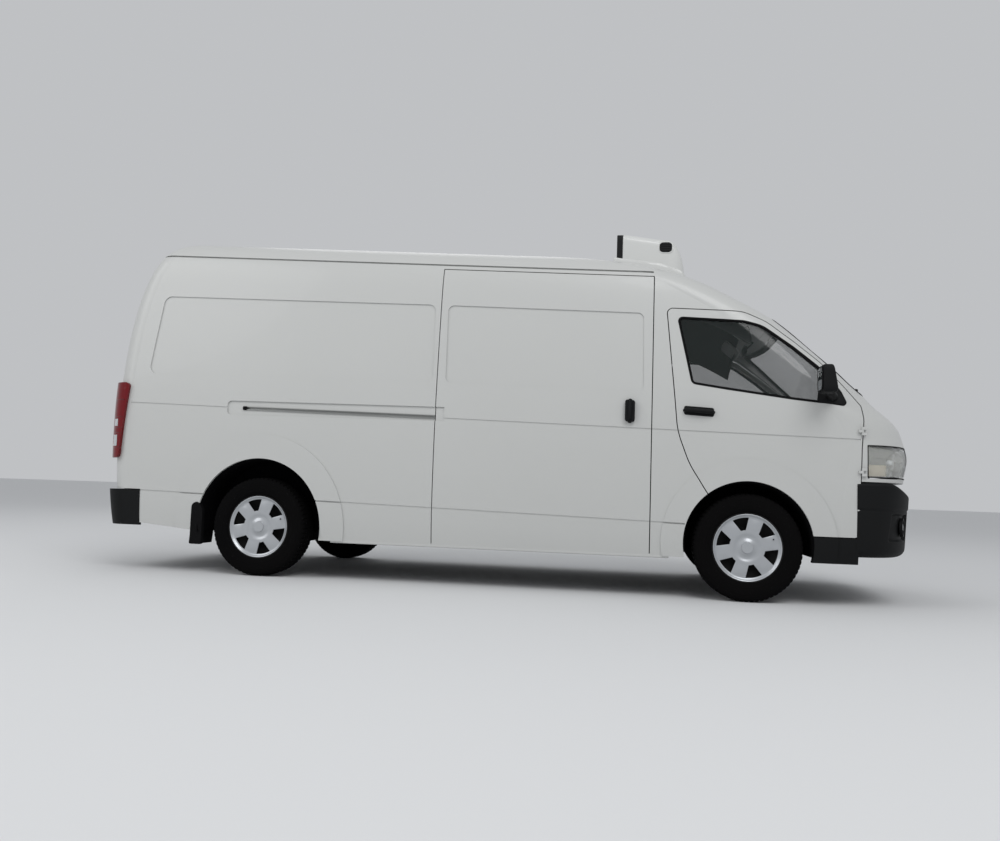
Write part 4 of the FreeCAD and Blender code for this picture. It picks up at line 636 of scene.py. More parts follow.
@dataclass
class BodySkin:
    """The van's outer surface, worked out from the same profiles as its panels.

    At each level the outline in plan has straight sides and bowed ends: over an end's depth the half width is
    W * (1 - t ** 3) ** (1 / 3). Heights then fall towards the nose by a share that grows from the sill to the roof.
    """

    half_length: float = 2.69
    half_width: float = 0.94
    roof: float = 2.268
    sill: float = 0.25
    fall: float = 0.047
    fall_centre: float = -0.6
    nose_depth: float = 0.45
    tail_depth: float = 0.22
    near: float = 1e-3
    front_shares: Pairs = (
        (0.110, 0.965), (0.265, 0.972), (0.329, 0.978), (0.397, 0.985), (0.428, 0.9783), (0.459, 0.972),
        (0.498, 0.9432), (0.556, 0.8957), (0.617, 0.8472), (0.683, 0.7855), (0.744, 0.728), (0.794, 0.6658),
        (0.838, 0.6013), (0.873, 0.5468), (0.9057, 0.480), (0.9325, 0.398), (0.9546, 0.297), (0.9722, 0.178),
        (0.98651, 0.019),
    )
    rear_shares: Pairs = (
        (0.110, 0.967), (0.243, 0.981), (0.397, 0.987), (0.573, 0.985), (0.683, 0.977), (0.794, 0.960),
        (0.882, 0.935), (0.935, 0.911), (0.970, 0.883), (0.990, 0.844), (1.0, 0.773),
    )
    side_shares: Pairs = (
        (0.110, 0.963), (0.198, 0.989), (0.331, 1.0), (0.485, 0.996), (0.617, 0.977), (0.750, 0.950),
        (0.838, 0.928), (0.891, 0.906), (0.926, 0.874), (0.957, 0.811), (0.977, 0.723), (0.990, 0.606),
        (1.0, 0.404),
    )

    def __post_init__(self) -> None:
        """Works out the three profiles once."""
        shares = np.array(self.front_shares)
        levels = self.level(shares[:, 1] * self.half_length, shares[:, 0] * self.roof) / self.roof
        self.front = self.curve(tuple(zip(levels, shares[:, 1])), self.half_length)
        self.rear = self.curve(self.rear_shares, self.half_length)
        self.flank = self.curve(self.side_shares, self.half_width)

    def level(self, x: Array | float, z: Array) -> Array:
        """The height, before the fall towards the nose, of points at (x, z)."""
        rise = self.roof - self.sill
        return self.sill + (z - self.sill) * rise / (rise - self.fall * (x - self.fall_centre))

    def roof_at(self, x: Array) -> Array:
        """The height of the roof along its middle line: the nose's profile read backwards, with the fall."""
        order = np.argsort(self.front[1])
        level = np.interp(x, self.front[1][order], self.front[0][order])
        rise = self.roof - self.sill
        return self.sill + (level - self.sill) * (rise - self.fall * (x - self.fall_centre)) / rise

    def curve(self, shares: Pairs, reach: float) -> tuple[Array, Array]:
        """Smooths a profile: a natural cubic through its points, spaced by the distance along it.

        Args:
            shares: (height, reach) pairs, as shares of the roof's height and of a full reach.
            reach: the full reach, in metres.

        Returns:
            Heights and reaches, close together.
        """
        knots = np.array(shares) * np.array([self.roof, reach])
        along = np.concatenate([[0], np.cumsum(np.linalg.norm(np.diff(knots, axis=0), axis=1))])
        step, count = np.diff(along), len(knots)
        system, right = np.eye(count), np.zeros((count, 2))
        inner = np.arange(1, count - 1)
        system[inner, inner - 1] = step[:-1]
        system[inner, inner] = 2 * (step[:-1] + step[1:])
        system[inner, inner + 1] = step[1:]
        right[1:-1] = 6 * np.diff(np.diff(knots, axis=0) / step[:, None], axis=0)
        bend = np.linalg.solve(system, right)
        at = np.linspace(0, along[-1], 600)
        span = np.clip(np.searchsorted(along, at, side="right") - 1, 0, count - 2)
        left, wide = (at - along[span])[:, None], step[span][:, None]
        rest = wide - left
        drawn = (bend[span] * rest ** 3 + bend[span + 1] * left ** 3) / (6 * wide)
        drawn += (knots[span] / wide - bend[span] * wide / 6) * rest
        drawn += (knots[span + 1] / wide - bend[span + 1] * wide / 6) * left
        order = np.argsort(drawn[:, 0])
        return drawn[order, 0], drawn[order, 1]

    def bow(self, angle: Array) -> tuple[Array, Array]:
        """How far ahead and aside a bowed end reaches at a plan angle, as shares of its depth and its half width.

        They are the angle's cosine and sine over the third root of the sum of their cubes.
        """
        scale = (np.abs(np.sin(angle)) ** 3 + np.cos(angle) ** 3) ** (-1 / 3)
        return np.cos(angle) * scale, np.sin(angle) * scale

    def half_width_at(self, x: Array, z: Array) -> Array:
        """Half the body's width at points seen from the side."""
        level = self.level(x, z)
        ahead = (x - np.interp(level, *self.front) + self.nose_depth) / self.nose_depth
        behind = (-x - np.interp(level, *self.rear) + self.tail_depth) / self.tail_depth
        bow = np.clip(np.maximum(ahead, behind), 0, 1)
        return np.interp(level, *self.flank) * (1 - bow ** 3) ** (1 / 3)

    def end_reach(self, y: Array, z: Array, front: bool) -> Array:
        """How far forward the nose, or back the tail, reaches at points seen from the front: settled in steps."""
        table, depth, sign = (self.front, self.nose_depth, 1) if front else (self.rear, self.tail_depth, -1)
        x = np.full(np.broadcast(y, z).shape, sign * self.half_length)
        for _ in range(6):
            level = self.level(x, z)
            share = np.clip(np.abs(y) / np.interp(level, *self.flank), 0, 1)
            x = sign * (np.interp(level, *table) - depth * (1 - (1 - share ** 3) ** (1 / 3)))
        return x

    def lifted(self, reach: Callable[[Array, Array], Array], a: Array, b: Array, proud: Array | float, axis: int,
               sign: int = 1) -> Array:
        """Points of a surface whose place on one axis depends on the other two, moved along its normal.

        The normal is 1 on that axis, and on the other two the negative of the slopes there.

        Args:
            reach: the surface's place on its axis, from the other two coordinates.
            a: the first of these.
            b: the second.
            proud: how far out of the surface the points lie.
            axis: the surface's axis.
            sign: which way the normal faces along it.

        Returns:
            The points, with a last axis of 3.
        """
        slope_a = (reach(a + self.near, b) - reach(a - self.near, b)) / (2 * self.near)
        slope_b = (reach(a, b + self.near) - reach(a, b - self.near)) / (2 * self.near)
        normal = unit(raised(-np.stack([slope_a, slope_b], axis=-1), axis, 1.0)) * sign
        flat = np.stack(np.broadcast_arrays(a, b), axis=-1)
        return raised(flat, axis, reach(a, b)) + normal * np.asarray(proud)[..., None]

    def side(self, x: Array, z: Array, proud: Array | float, side: Side) -> Array:
        """Points on a side of the body at (x, z), moved outwards by proud along the surface's normal."""
        return side.flip(self.lifted(self.half_width_at, x, z, proud, 1))

    def end(self, y: Array, z: Array, proud: Array | float, front: bool) -> Array:
        """Points on the nose, or else the tail, at (y, z), moved outwards by proud along the surface's normal."""
        return self.lifted(lambda a, b: self.end_reach(a, b, front), y, z, proud, 0, 1 if front else -1)


SKIN = BodySkin()


def skin_plate(corners: Corners, side: Side, low: float, high: float, edge: float) -> Form:
    """A plate that follows the body's side, over an outline seen from the side.

    Args:
        corners: the outline's (x, z, radius) corners.
        side: the side of the van.
        low: its hidden face's height over the skin.
        high: its outer face's height over the skin.
        edge: the width of its rounded rim.

    Returns:
        The plate.
    """
    outline = outline_of(corners, 120)
    normal, middle = outward(outline), outline.mean(axis=0)
    rings, levels = [outline], [low]
    for turn in np.linspace(0, np.pi / 2, 4):
        rings.append(outline - normal * edge * (1 - math.cos(turn)))
        levels.append(high - edge * (1 - math.sin(turn)))
    for share in (0.7, 0.4, 0.1):
        rings.append(middle + (outline - middle) * share)
        levels.append(high)
    flat = np.stack(rings)
    proud = np.broadcast_to(np.array(levels)[:, None], flat.shape[:2])
    return closed_tube(SKIN.side(flat[..., 0], flat[..., 1], proud, side))


def tail_pad(corners: Corners, count: int, section: Pairs, backed: bool) -> Form:
    """A raised pad on the tail: a section round its outline, drawn together to the middle of its face.

    Args:
        corners: the outline's (y, z, radius) corners.
        count: the points of the outline.
        section: (distance outwards, height over the skin) points, from the back to the face.
        backed: whether the back is closed in the same way.

    Returns:
        The pad.
    """
    grid = SKIN.end(*strip(outline_of(corners, count, 8), section), False)
    back, face = [np.repeat(grid.mean(axis=0)[None, [row]], count, axis=0) for row in (0, -1)]
    return grid_form(np.concatenate([back, grid, face] if backed else [grid, face], axis=1), (True, False))


@dataclass
class Wheel:
    """One wheel, named by its end and side: a tyre with road tread, a windowed cover, a valve and a brake.

    The window's half widths are at its inner and its outer edge. valve_at is forward and up from the wheel's middle.
    The brake's profiles are (radius, along) points, along counted outwards from the mounting face.
    """

    end: str
    x: float
    side: Side
    middle_y: float = 0.825
    radius: float = 0.322
    half_width: float = 0.0975
    crown_half: float = 0.086
    bead_radius: float = 0.208
    bead_half: float = 0.085
    groove_depth: float = 0.0065
    groove_places: tuple[float, ...] = (-0.045, -0.0155, 0.0155, 0.045)
    groove_half: float = 0.0042
    crown_fall: float = 0.003
    shoulder_fall: float = 0.012
    shoulder_start: float = 0.068
    widest_radius: float = 0.262
    cut_limit: float = 0.74
    rib_places: tuple[float, ...] = (0.283, 0.241)
    rib_depth: float = 0.0011
    rib_half: float = 0.0022
    pitches: int = 66
    cover_radius: float = 0.2095
    window_count: int = 6
    window_in: float = 0.104
    window_out: float = 0.179
    window_half_in: float = 0.0145
    window_half_out: float = 0.049
    window_turn: float = 43.0
    face_out: float = 0.071
    dome_rise: float = 0.007
    cap_radius: float = 0.034
    cap_rise: float = 0.006
    dish_radius: float = 0.062
    dish_depth: float = 0.010
    lip_radius: float = 0.196
    lip_rise: float = 0.010
    ridge_rise: float = 0.0045
    valve_at: Limits = (0.150, 0.055)
    valve_ends: Limits = (0.050, 0.084)
    front_disc: Pairs = (
        (0.075, 0.0), (0.126, 0.0), (0.128, -0.002), (0.128, -0.016), (0.126, -0.018), (0.078, -0.018),
        (0.066, -0.014), (0.066, 0.012), (0.072, 0.012))
    rear_drum: Pairs = (
        (0.070, 0.010), (0.148, 0.004), (0.156, -0.004), (0.156, -0.014), (0.150, -0.016), (0.150, -0.024),
        (0.156, -0.026), (0.156, -0.060), (0.150, -0.064), (0.070, -0.064))

    def __post_init__(self) -> None:
        """Works out the wheel's name, its body and its middle."""
        self.name = f"{self.end}_{self.side.word}"
        self.body = f"wheel_{self.name}"
        self.centre = np.array([self.x, self.side.value * self.middle_y, self.radius])

    def build(self) -> None:
        """Makes all of the wheel."""
        self.tyre()
        self.cover()
        self.brake()

    def wall(self, first: Array, between: float, last: Array) -> Array:
        """A sidewall's curve from one (radius, across) point to another, pulled towards the tyre's full width."""
        share = np.linspace(0, 1, 20)[1:, None]
        pull = np.array([between, self.half_width])
        return (1 - share) ** 2 * first + 2 * share * (1 - share) * pull + share ** 2 * last

    def tyre(self) -> None:
        """A tyre: a turned section whose radius drops into the tread's grooves and cross cuts.

        The section runs from bead to bead over the crown. Across the tread the radius loses the groove depth inside
        four straight grooves, and between them where the sine of the pitch count times the turn, shifted with the
        place across, passes a limit. Each sidewall is two curves that meet where the tyre is widest.
        """
        crown = np.linspace(-self.crown_half, self.crown_half, 61)
        past = (np.abs(crown) - self.shoulder_start) / (self.crown_half - self.shoulder_start)
        drop = self.crown_fall * (crown / self.crown_half) ** 2 + self.shoulder_fall * np.clip(past, 0, 1) ** 2
        shoulder = np.array([self.radius - self.crown_fall - self.shoulder_fall, self.crown_half])
        widest = np.array([self.widest_radius, self.half_width])
        bead_at = np.array([self.bead_radius + 0.004, self.bead_half])
        right = np.concatenate([self.wall(shoulder, 0.300, widest), self.wall(widest, 0.226, bead_at),
                                [[self.bead_radius, self.bead_half - 0.004]]])
        from_rib = np.abs(right[:, :1] - np.array(self.rib_places)).min(axis=1)
        right[:, 1] -= self.rib_depth * (from_rib < self.rib_half)
        left = right[::-1] * np.array([1.0, -1.0])
        section = np.concatenate([left, np.stack([self.radius - drop, crown], axis=-1), right])
        turn = full_turn(396)
        radius = np.repeat(section[:, :1], len(turn), axis=1)
        across = section[:, 1:2]
        row = np.arange(len(section))
        on_crown = (row >= len(left)) & (row < len(left) + len(crown))
        gap = np.abs(across - np.array(self.groove_places)).min(axis=1) < self.groove_half
        slant = np.where(np.abs(across) > 0.048, 30.0, 55.0) * np.abs(across)
        between = (np.abs(across) > 0.02) & (np.abs(across) < 0.083)
        cross_cut = (np.sin(self.pitches * turn[None] + slant) > self.cut_limit) & between
        radius -= self.groove_depth * on_crown[:, None] * (gap[:, None] | cross_cut)
        grid = points_at(radius * np.cos(turn), across * self.side.value, radius * np.sin(turn))
        place(f"tyre_tread_{self.name}", [grid_form(grid + self.centre, (True, True))], TYRE_RUBBER, self.body, 30.0,
              (f"tyre_{self.name}",))

    def cover(self) -> None:
        """A wheel cover with six windows that widen outwards, and the tyre's valve behind one of them.

        Rings and spokes make the grid. In each sixth of the turn the columns are squeezed so that two of them follow
        the window's edges, and the faces between them are left out. The face domes towards the cap, and its outer
        ring rolls in over the rim.
        """
        rings = np.concatenate([
            np.linspace(0.0, self.cap_radius, 6), np.linspace(self.cap_radius + 0.002, self.window_in, 9),
            np.linspace(self.window_in, self.window_out, 11)[1:],
            np.linspace(self.window_out, self.cover_radius, 9)[1:]])
        column = np.linspace(-1, 1, 25)[:-1]
        share = np.clip((rings - self.window_in) / (self.window_out - self.window_in), 0, 1)
        half = (self.window_half_in + share * (self.window_half_out - self.window_half_in)) / np.maximum(rings, 0.06)
        half = half[:, None]
        sixth = np.pi / self.window_count
        angle = np.where(np.abs(column) <= 0.5, column * 2 * half,
                         np.sign(column) * (half + (np.abs(column) - 0.5) * 2 * (sixth - half)))
        starts = np.radians(self.window_turn) + 2 * sixth * np.arange(self.window_count)
        turn = (starts[None, :, None] + angle[:, None, :]).reshape(len(rings), -1)
        dome = self.face_out + self.dome_rise * np.cos(np.clip(rings / 0.20, 0, 1) * np.pi / 2)
        dome += self.cap_rise * (rings < self.cap_radius + 0.0005)
        dome -= self.dish_depth * np.exp(-((rings - self.dish_radius) / 0.018) ** 2)
        dome += self.lip_rise * np.exp(-((rings - self.lip_radius) / 0.010) ** 2)
        dome += self.cap_rise * np.clip((rings - self.lip_radius + 0.006) / 0.010, 0, 1)
        dome -= self.cap_rise * np.clip((rings - self.lip_radius - 0.007) / 0.0065, 0, 1) ** 2
        spoke = np.tile(np.clip(np.abs(column) * 2 - 1, 0, 1), self.window_count)
        ridge = self.ridge_rise * np.clip(share * (1 - share) * 4, 0, 1)[:, None] * np.sin(spoke * np.pi / 2)[None]
        out = (dome[:, None] + ridge) * self.side.value
        grid = points_at(rings[:, None] * np.cos(turn), out, rings[:, None] * np.sin(turn))
        window_rows = (rings[:-1] >= self.window_in - 1e-6) & (rings[1:] <= self.window_out + 1e-6)
        open_columns = np.tile(np.abs(column + 1 / 24) < 0.5, self.window_count)
        face = grid_form(grid + self.centre, (False, True), ~(window_rows[:, None] & open_columns[None]))
        piece = place(f"wheel_cover_{self.name}", [face], WHEEL_SILVER, self.body, 40.0)
        thick = piece.modifiers.new("thickness", "SOLIDIFY")
        thick.thickness = 0.006
        thick.offset = -1.0
        edge = piece.modifiers.new("edge", "BEVEL")
        edge.width = 0.0012
        edge.segments = 2
        edge.angle_limit = math.radians(50)
        x, z = self.valve_at
        stem = [self.centre + np.array([x, self.side.value * end, z]) for end in self.valve_ends]
        place(f"valve_{self.name}", [pipe(stem, 0.004)], SEAL_RUBBER, self.body)

    def brake(self) -> None:
        """The brake: a disc with its hat at the front, a ribbed drum at the rear."""
        front = self.end == "front"
        profile, shift, finish = (self.front_disc, 0.006, BRAKE_IRON) if front else (self.rear_drum, -0.022, CAST_IRON)
        turned = (np.array(profile) + np.array([0.0, shift])) * np.array([1.0, self.side.value])
        place(f"brake_{self.name}", [lathe(turned, self.centre, 1, 96)], finish, self.body, 30.0)


@dataclass
class ArchLiner:
    """The black ribbed liners over an axle's wheels.

    x is the arch's middle. inner and outer are a liner's ends, as distances from the van's middle.
    """

    end: str
    x: float
    radius: float
    inner: float
    outer: float
    height: float = 0.340
    thickness: float = 0.004
    rib_pitch: float = 0.055
    rib_depth: float = 0.0025
    lip_width: float = 0.02
    lip_rise: float = 0.003
    rows: int = 73
    wall_columns: int = 8
    tube_columns: int = 26

    def build(self) -> None:
        """Makes both liners: a ribbed half tube over the wheel, and a flat wall at its inner end.

        Each point is the radius, less a small wave across for the ribs, at a turn from just below one side of the
        arch over the top to the other; the first columns run out from the middle as the wall.
        """
        turn = np.linspace(-0.16, np.pi + 0.16, self.rows)[:, None]
        wall = np.repeat([1.0, 0.0], (self.wall_columns, self.tube_columns))
        across = np.concatenate([np.full(self.wall_columns, self.inner),
                                 np.linspace(self.inner, self.outer, self.tube_columns)])
        size = np.concatenate([np.linspace(self.radius * 0.62, self.radius - 0.01, self.wall_columns),
                               np.full(self.tube_columns, self.radius)])
        rib = (across > self.inner + 0.02) & (across < self.outer - 0.03)
        rib &= np.sin(across * 2 * np.pi / self.rib_pitch) > 0.3
        lip = np.clip((across - self.outer + self.lip_width) / self.lip_width, 0, 1)
        size = size - self.rib_depth * rib + self.lip_rise * lip
        outer, inner = [points_at(self.x + reach * np.cos(turn), across + shift, self.height + reach * np.sin(turn))
                        for reach, shift in ((size, 0.0), (size - self.thickness, wall * self.thickness))]
        ring = np.concatenate([outer, inner[:, ::-1]], axis=1)
        for side in SIDES:
            place(f"arch_liner_{self.end}_{side.word}", [closed_tube(side.flip(ring))], ARCH_FELT, crease=40.0)


@dataclass
class MudFlap:
    """The rubber flaps behind the rear wheels, and the plates at their outer edges."""

    x: float = -1.908
    middle_y: float = 0.790
    wide: float = 0.22
    low: float = 0.19
    high: float = 0.50
    sweep: float = 0.018
    edge: Corners = ((-1.898, 0.482, 0.03), (-1.946, 0.455, 0.035), (-1.964, 0.19, 0.01), (-1.880, 0.19, 0.01),
                     (-1.868, 0.42, 0.03))

    def build(self) -> None:
        """Hangs both flaps: a thin sheet with stiffening ribs, its lower end swept back a little."""
        up, turn = np.linspace(self.low, self.high, 22)[:, None], full_turn(80)[None]
        across = np.sign(np.cos(turn)) * np.abs(np.cos(turn)) ** 0.25 * self.wide / 2
        thick = np.sin(turn) * (0.0035 + 0.0012 * (np.sin(across * 2 * np.pi / 0.03) > 0.4))
        bend = self.sweep * ((self.high - up) / (self.high - self.low)) ** 2
        grid = points_at(self.x - bend + thick, self.middle_y + across, up)
        for side in SIDES:
            place(f"mud_flap_rear_{side.word}", [closed_tube(side.flip(grid))], SEAL_RUBBER, crease=30.0)
            place(f"flap_edge_{side.word}", [skin_plate(self.edge, side, -0.020, 0.0115, 0.002)], SEAL_RUBBER)


@dataclass
class Glazing:
    """The black rubber round the windows."""

    section: Pairs = ((-0.013, -0.008), (0.000, -0.008), (0.0025, 0.0005), (0.001, 0.0022), (-0.004, 0.0026),
                      (-0.012, -0.002), (-0.0135, -0.005))
    end_stretch: float = 1.6
    door_window: Corners = (
        (1.200, 1.725, 0.025), (1.600, 1.701, 0.2), (1.712, 1.672, 0.2), (1.893, 1.543, 0.3), (2.055, 1.408, 0.3),
        (2.160, 1.272, 0.12), (2.190, 1.200, 0.014), (2.174, 1.181, 0.012), (1.885, 1.214, 0.0),
        (1.498, 1.270, 0.0), (1.292, 1.303, 0.035))
    screen: Corners = ((-0.790, 1.275, 0.07), (0.790, 1.275, 0.07), (0.735, 1.745, 0.06), (-0.735, 1.745, 0.06))
    gate_glass: Corners = rectangle((-0.600, 0.600), (1.330, 1.900), 0.06)

    def build(self) -> None:
        """Fits the seals of the doors, the windscreen and the tailgate."""
        for side in SIDES:
            seal = SKIN.side(*strip(outline_of(self.door_window, 300), self.section), side)
            place(f"window_seal_{side.word}", [grid_form(seal, (True, True))], SEAL_RUBBER, f"door_{side.word}", 60.0)
        for name, corners, front, body in (("windscreen_seal", self.screen, True, "root"),
                                           ("tailgate_seal", self.gate_glass, False, "tailgate")):
            seal = SKIN.end(*strip(outline_of(corners, 260, 10), self.section, self.end_stretch), front)
            place(name, [grid_form(seal, (True, True))], SEAL_RUBBER, body, 60.0)


def bowed_bar(middle: tuple[float, float], half: tuple[float, float], lift: float, side: Side) -> Array:
    """A handle's middle line, which bows out of the skin between its feet.

    Its height over the skin is the lift times the fourth root of a cosine's half wave along it.

    Args:
        middle: its middle, (x, z).
        half: from there to one of its ends.
        lift: its greatest height over the skin.
        side: the side of the van.

    Returns:
        The line's points.
    """
    along = np.linspace(-1, 1, 40)
    proud = lift * np.maximum(np.cos(along * np.pi / 2), 0) ** 0.25 + 0.001
    return SKIN.side(middle[0] + along * half[0], middle[1] + along * half[1], proud, side)


@dataclass
class DoorFittings:
    """What hangs on a front door: its mirror and its handle."""

    side: Side
    mirror_centre: Point = (2.048, 1.085, 1.316)
    mirror_half: Point = (0.040, 0.0745, 0.082)
    glass_half: Limits = (0.060, 0.066)
    arm: Corners = ((2.105, 0.925, 1.232), (2.098, 0.965, 1.236), (2.080, 1.01, 1.243), (2.062, 1.05, 1.256),
                    (2.052, 1.075, 1.275))
    arm_radii: tuple[float, ...] = (0.034, 0.03, 0.026, 0.025, 0.024)
    sail: Corners = ((2.052, 1.420, 0.012), (2.188, 1.206, 0.014), (2.172, 1.182, 0.012), (2.020, 1.200, 0.02))
    handle_plate: Corners = (
        (1.247, 1.110, 0.012), (1.425, 1.098, 0.012), (1.425, 1.153, 0.012), (1.247, 1.165, 0.012))

    def mirror(self) -> None:
        """A mirror: a rounded head that widens downwards at its front, its glass facing back, an arm and a sail.

        The head's front half gains about a third of its depth at the foot and loses it at the top.
        """
        side, word = self.side, self.side.word
        x, y, z = self.mirror_centre
        head = soft_block((0, 0, 0), self.mirror_half, 0.34, 40, 72)
        points = head.points
        points[:, 0] *= np.where(points[:, 0] > 0, 1 - 0.35 * points[:, 2] / self.mirror_half[2], 1.0)
        forms = [head.moved(np.array([x, side.value * y, z])),
                 pipe(side.flip(np.array(self.arm)), np.array(self.arm_radii), 20, 0.75),
                 skin_plate(self.sail, side, -0.012, 0.0075, 0.004)]
        place(f"mirror_head_{word}", forms, BLACK_MOULDING, f"door_{word}", 40.0, (f"door_{word}_trim",))
        wide, high = self.glass_half
        across = (side.value * (y - wide), side.value * (y + wide))
        outline = outline_of(rectangle(across, (z - high, z + high), 0.026), 96, 9)
        glass = slab(outline, 0, x - 0.0425, x - 0.0385, 0.001)
        place(f"mirror_glass_{word}", [glass], MIRROR_SILVER, f"door_{word}")
        rim = bead(outline, 0, x - 0.0410, 0.0035, 0.0035, 0.002)
        place(f"mirror_rim_{word}", [rim], BLACK_MOULDING, f"door_{word}")

    def handle(self) -> None:
        """A pull handle: a bowed bar over its dished plate."""
        bar = bowed_bar((1.336, 1.1315), (0.080, -0.0055), 0.024, self.side)
        forms = [pipe(bar, 0.0165, 16, 0.8), skin_plate(self.handle_plate, self.side, -0.006, 0.004, 0.003)]
        place(f"door_pull_{self.side.word}", forms, BLACK_MOULDING, f"door_{self.side.word}", 40.0)


@dataclass
class Lamps:
    """The lights of one side: a headlamp with bowls behind a clear cover, a banded tail lamp and a round fog lamp.

    low, high, inner_y and back_x bound the headlamp's opening. bowls has each bowl's y and radius, clear_bands the
    name and the limits in height of each clear window. The fog lamp's profiles are (radius, along) points.
    """

    side: Side
    rows: int = 22
    columns: int = 40
    low: float = 0.7625
    high: float = 0.9475
    inner_y: float = 0.483
    inner_lean: float = 0.122
    back_x: float = 2.3035
    bowl_z: float = 0.853
    bowls: Pairs = ((0.665, 0.068), (0.812, 0.062))
    bowl_depth: float = 0.075
    band_under: float = 0.0250
    band_start: float = 0.86
    clear_bands: tuple[tuple[str, float, float], ...] = (("clear_low", 0.828, 0.902), ("clear_high", 0.962, 1.010))
    rib_heights: tuple[float, ...] = (0.816, 0.914, 0.950, 1.022, 1.140)
    fog_y: float = 0.700
    fog_z: float = 0.472
    bezel: Pairs = ((0.040, -0.006), (0.040, 0.006), (0.046, 0.012), (0.0555, 0.012), (0.0555, -0.006))
    fog_lens: Pairs = ((0.0001, 0.010), (0.014, 0.0095), (0.028, 0.007), (0.0395, 0.001), (0.0395, -0.005),
                       (0.0001, -0.005))

    def patch(self, inset: float, shrink: float = 0.0) -> Array:
        """A grid over a headlamp's opening, from its inner edge round the nose's corner to its rear edge.

        Columns run along each level's bowed outline by its plan angle, from the angle of its inner edge's share of
        the half width to that of its rear edge's share of the nose's depth.

        Args:
            inset: how far under the skin the grid lies.
            shrink: how far its edges are drawn in.

        Returns:
            The grid's points, (rows, columns, 3).
        """
        up = np.linspace(0, 1, self.rows)[:, None]
        z = self.low + shrink + (self.high - self.low - 2 * shrink) * up
        inner_y = self.inner_y + self.inner_lean * up + shrink * 1.3
        level = SKIN.level(SKIN.end_reach(inner_y, z, True), z)
        tip, wide = np.interp(level, *SKIN.front), np.interp(level, *SKIN.flank)
        aside, ahead = [np.clip(share, 0, 0.999) for share in (
            inner_y / wide, (self.back_x + shrink - tip + SKIN.nose_depth) / SKIN.nose_depth)]
        first = np.arctan2(aside, (1 - aside ** 3) ** (1 / 3))
        last = np.arctan2((1 - ahead ** 3) ** (1 / 3), ahead)
        ahead, aside = SKIN.bow(first + (last - first) * np.linspace(0, 1, self.columns)[None])
        grid = points_at(tip - SKIN.nose_depth * (1 - ahead), wide * aside, z)
        normal = unit(np.cross(np.gradient(grid, axis=1), np.gradient(grid, axis=0)))
        normal *= np.sign(normal[..., :1] + normal[..., 1:2])
        return self.side.flip(grid - normal * inset)

    def head(self) -> None:
        """A headlamp: a clear cover, a satin housing with two bowls, their bulbs and a corner lens.

        The housing is the cover's own grid set back, and deeper still inside two circles, by a paraboloid:
        the bowl's depth times 1 less the squared distance from its middle over its radius.
        """
        side, word = self.side, self.side.word
        place(f"headlamp_cover_{word}", walled(self.patch(0.0015), self.patch(0.0045)), LAMP_COVER, crease=50.0,
              replaced=("headlamps",) if side is Side.RIGHT else ())
        back, base = self.patch(0.026, 0.003), self.patch(0.042, 0.003)
        flat = back[..., 1:] * np.array([side.value, 1.0])
        for middle_y, size in self.bowls:
            away = np.hypot(flat[..., 0] - middle_y, flat[..., 1] - self.bowl_z) / size
            back[..., 0] -= self.bowl_depth * np.clip(1 - away ** 2, 0, 1)
            back[..., 0] += 0.007 * np.exp(-((away - 1.03) / 0.09) ** 2)
        back[..., 0] -= 0.003 * (np.sin(back[..., 2] * 2 * np.pi / 0.026) > 0.5)
        base[..., 0] = np.minimum(base[..., 0], back[..., 0] - 0.006)
        # A thin black ring along the cover's edges: painted shadow, standing for the shade under the bonnet's edge and
        # in the gap round the cover.
        rim = self.patch(0.0)
        edges = [rim[0], rim[-1], rim[:, 0], rim[:, -1]]
        place(f"headlamp_seal_{word}", [pipe(edge, 0.0032, 8) for edge in edges], SEAL_RUBBER)
        place(f"headlamp_housing_{word}", walled(back, base), LAMP_BOWL, crease=40.0)
        for index, (y, _) in enumerate(self.bowls):
            reach = float(SKIN.end_reach(y, self.bowl_z, True))
            bulb = soft_block((reach - self.bowl_depth, side.value * y, self.bowl_z), (0.022, 0.017, 0.017), 0.8)
            place(f"headlamp_bulb_{word}_{index}", [bulb], BULB_GLASS)
        corner = [self.patch(inset, 0.006)[:9, 27:] for inset in (0.018, 0.024)]
        place(f"turn_lamp_{word}", walled(*corner), TURN_LENS, crease=40.0)

    def tail(self) -> None:
        """Bands on the tail lamp: two clear windows and dark dividing ribs, wrapped round the tail's corner."""
        for name, low, high in self.clear_bands:
            place(f"tail_{name}_{self.side.word}", [self.tail_band(low, high, 0.0292, 1.26)], LAMP_LENS, crease=40.0)
        ribs = [self.tail_band(z, z + 0.004, 0.0287, 1.40) for z in self.rib_heights]
        place(f"tail_ribs_{self.side.word}", ribs, RED_RIB, crease=40.0)

    def tail_band(self, low: float, high: float, proud: float, last: float) -> Form:
        """A thin band round the tail lamp's outer face, by the plan angle of the tail's corner.

        Args:
            low: its lower edge's height.
            high: its upper edge's height.
            proud: its outer face's distance from the body's skin.
            last: the plan angle where it ends, towards the side.

        Returns:
            The band.
        """
        z = np.linspace(low, high, 8)[:, None]
        ahead, aside = SKIN.bow(np.linspace(self.band_start, last, 26)[None])
        level = SKIN.level(-2.6, z)
        tip, wide = np.interp(level, *SKIN.rear), np.interp(level, *SKIN.flank)
        grid = points_at(SKIN.tail_depth * (1 - ahead) - tip, wide * aside, z)
        normal = unit(np.cross(np.gradient(grid, axis=0), np.gradient(grid, axis=1)))
        normal *= np.sign((normal * np.array([-1.0, 1.0, 0.0])).sum(axis=-1, keepdims=True))
        outer, inner = [self.side.flip(grid + normal * out) for out in (proud, self.band_under)]
        return closed_tube(np.swapaxes(np.concatenate([outer, inner[::-1]]), 0, 1))

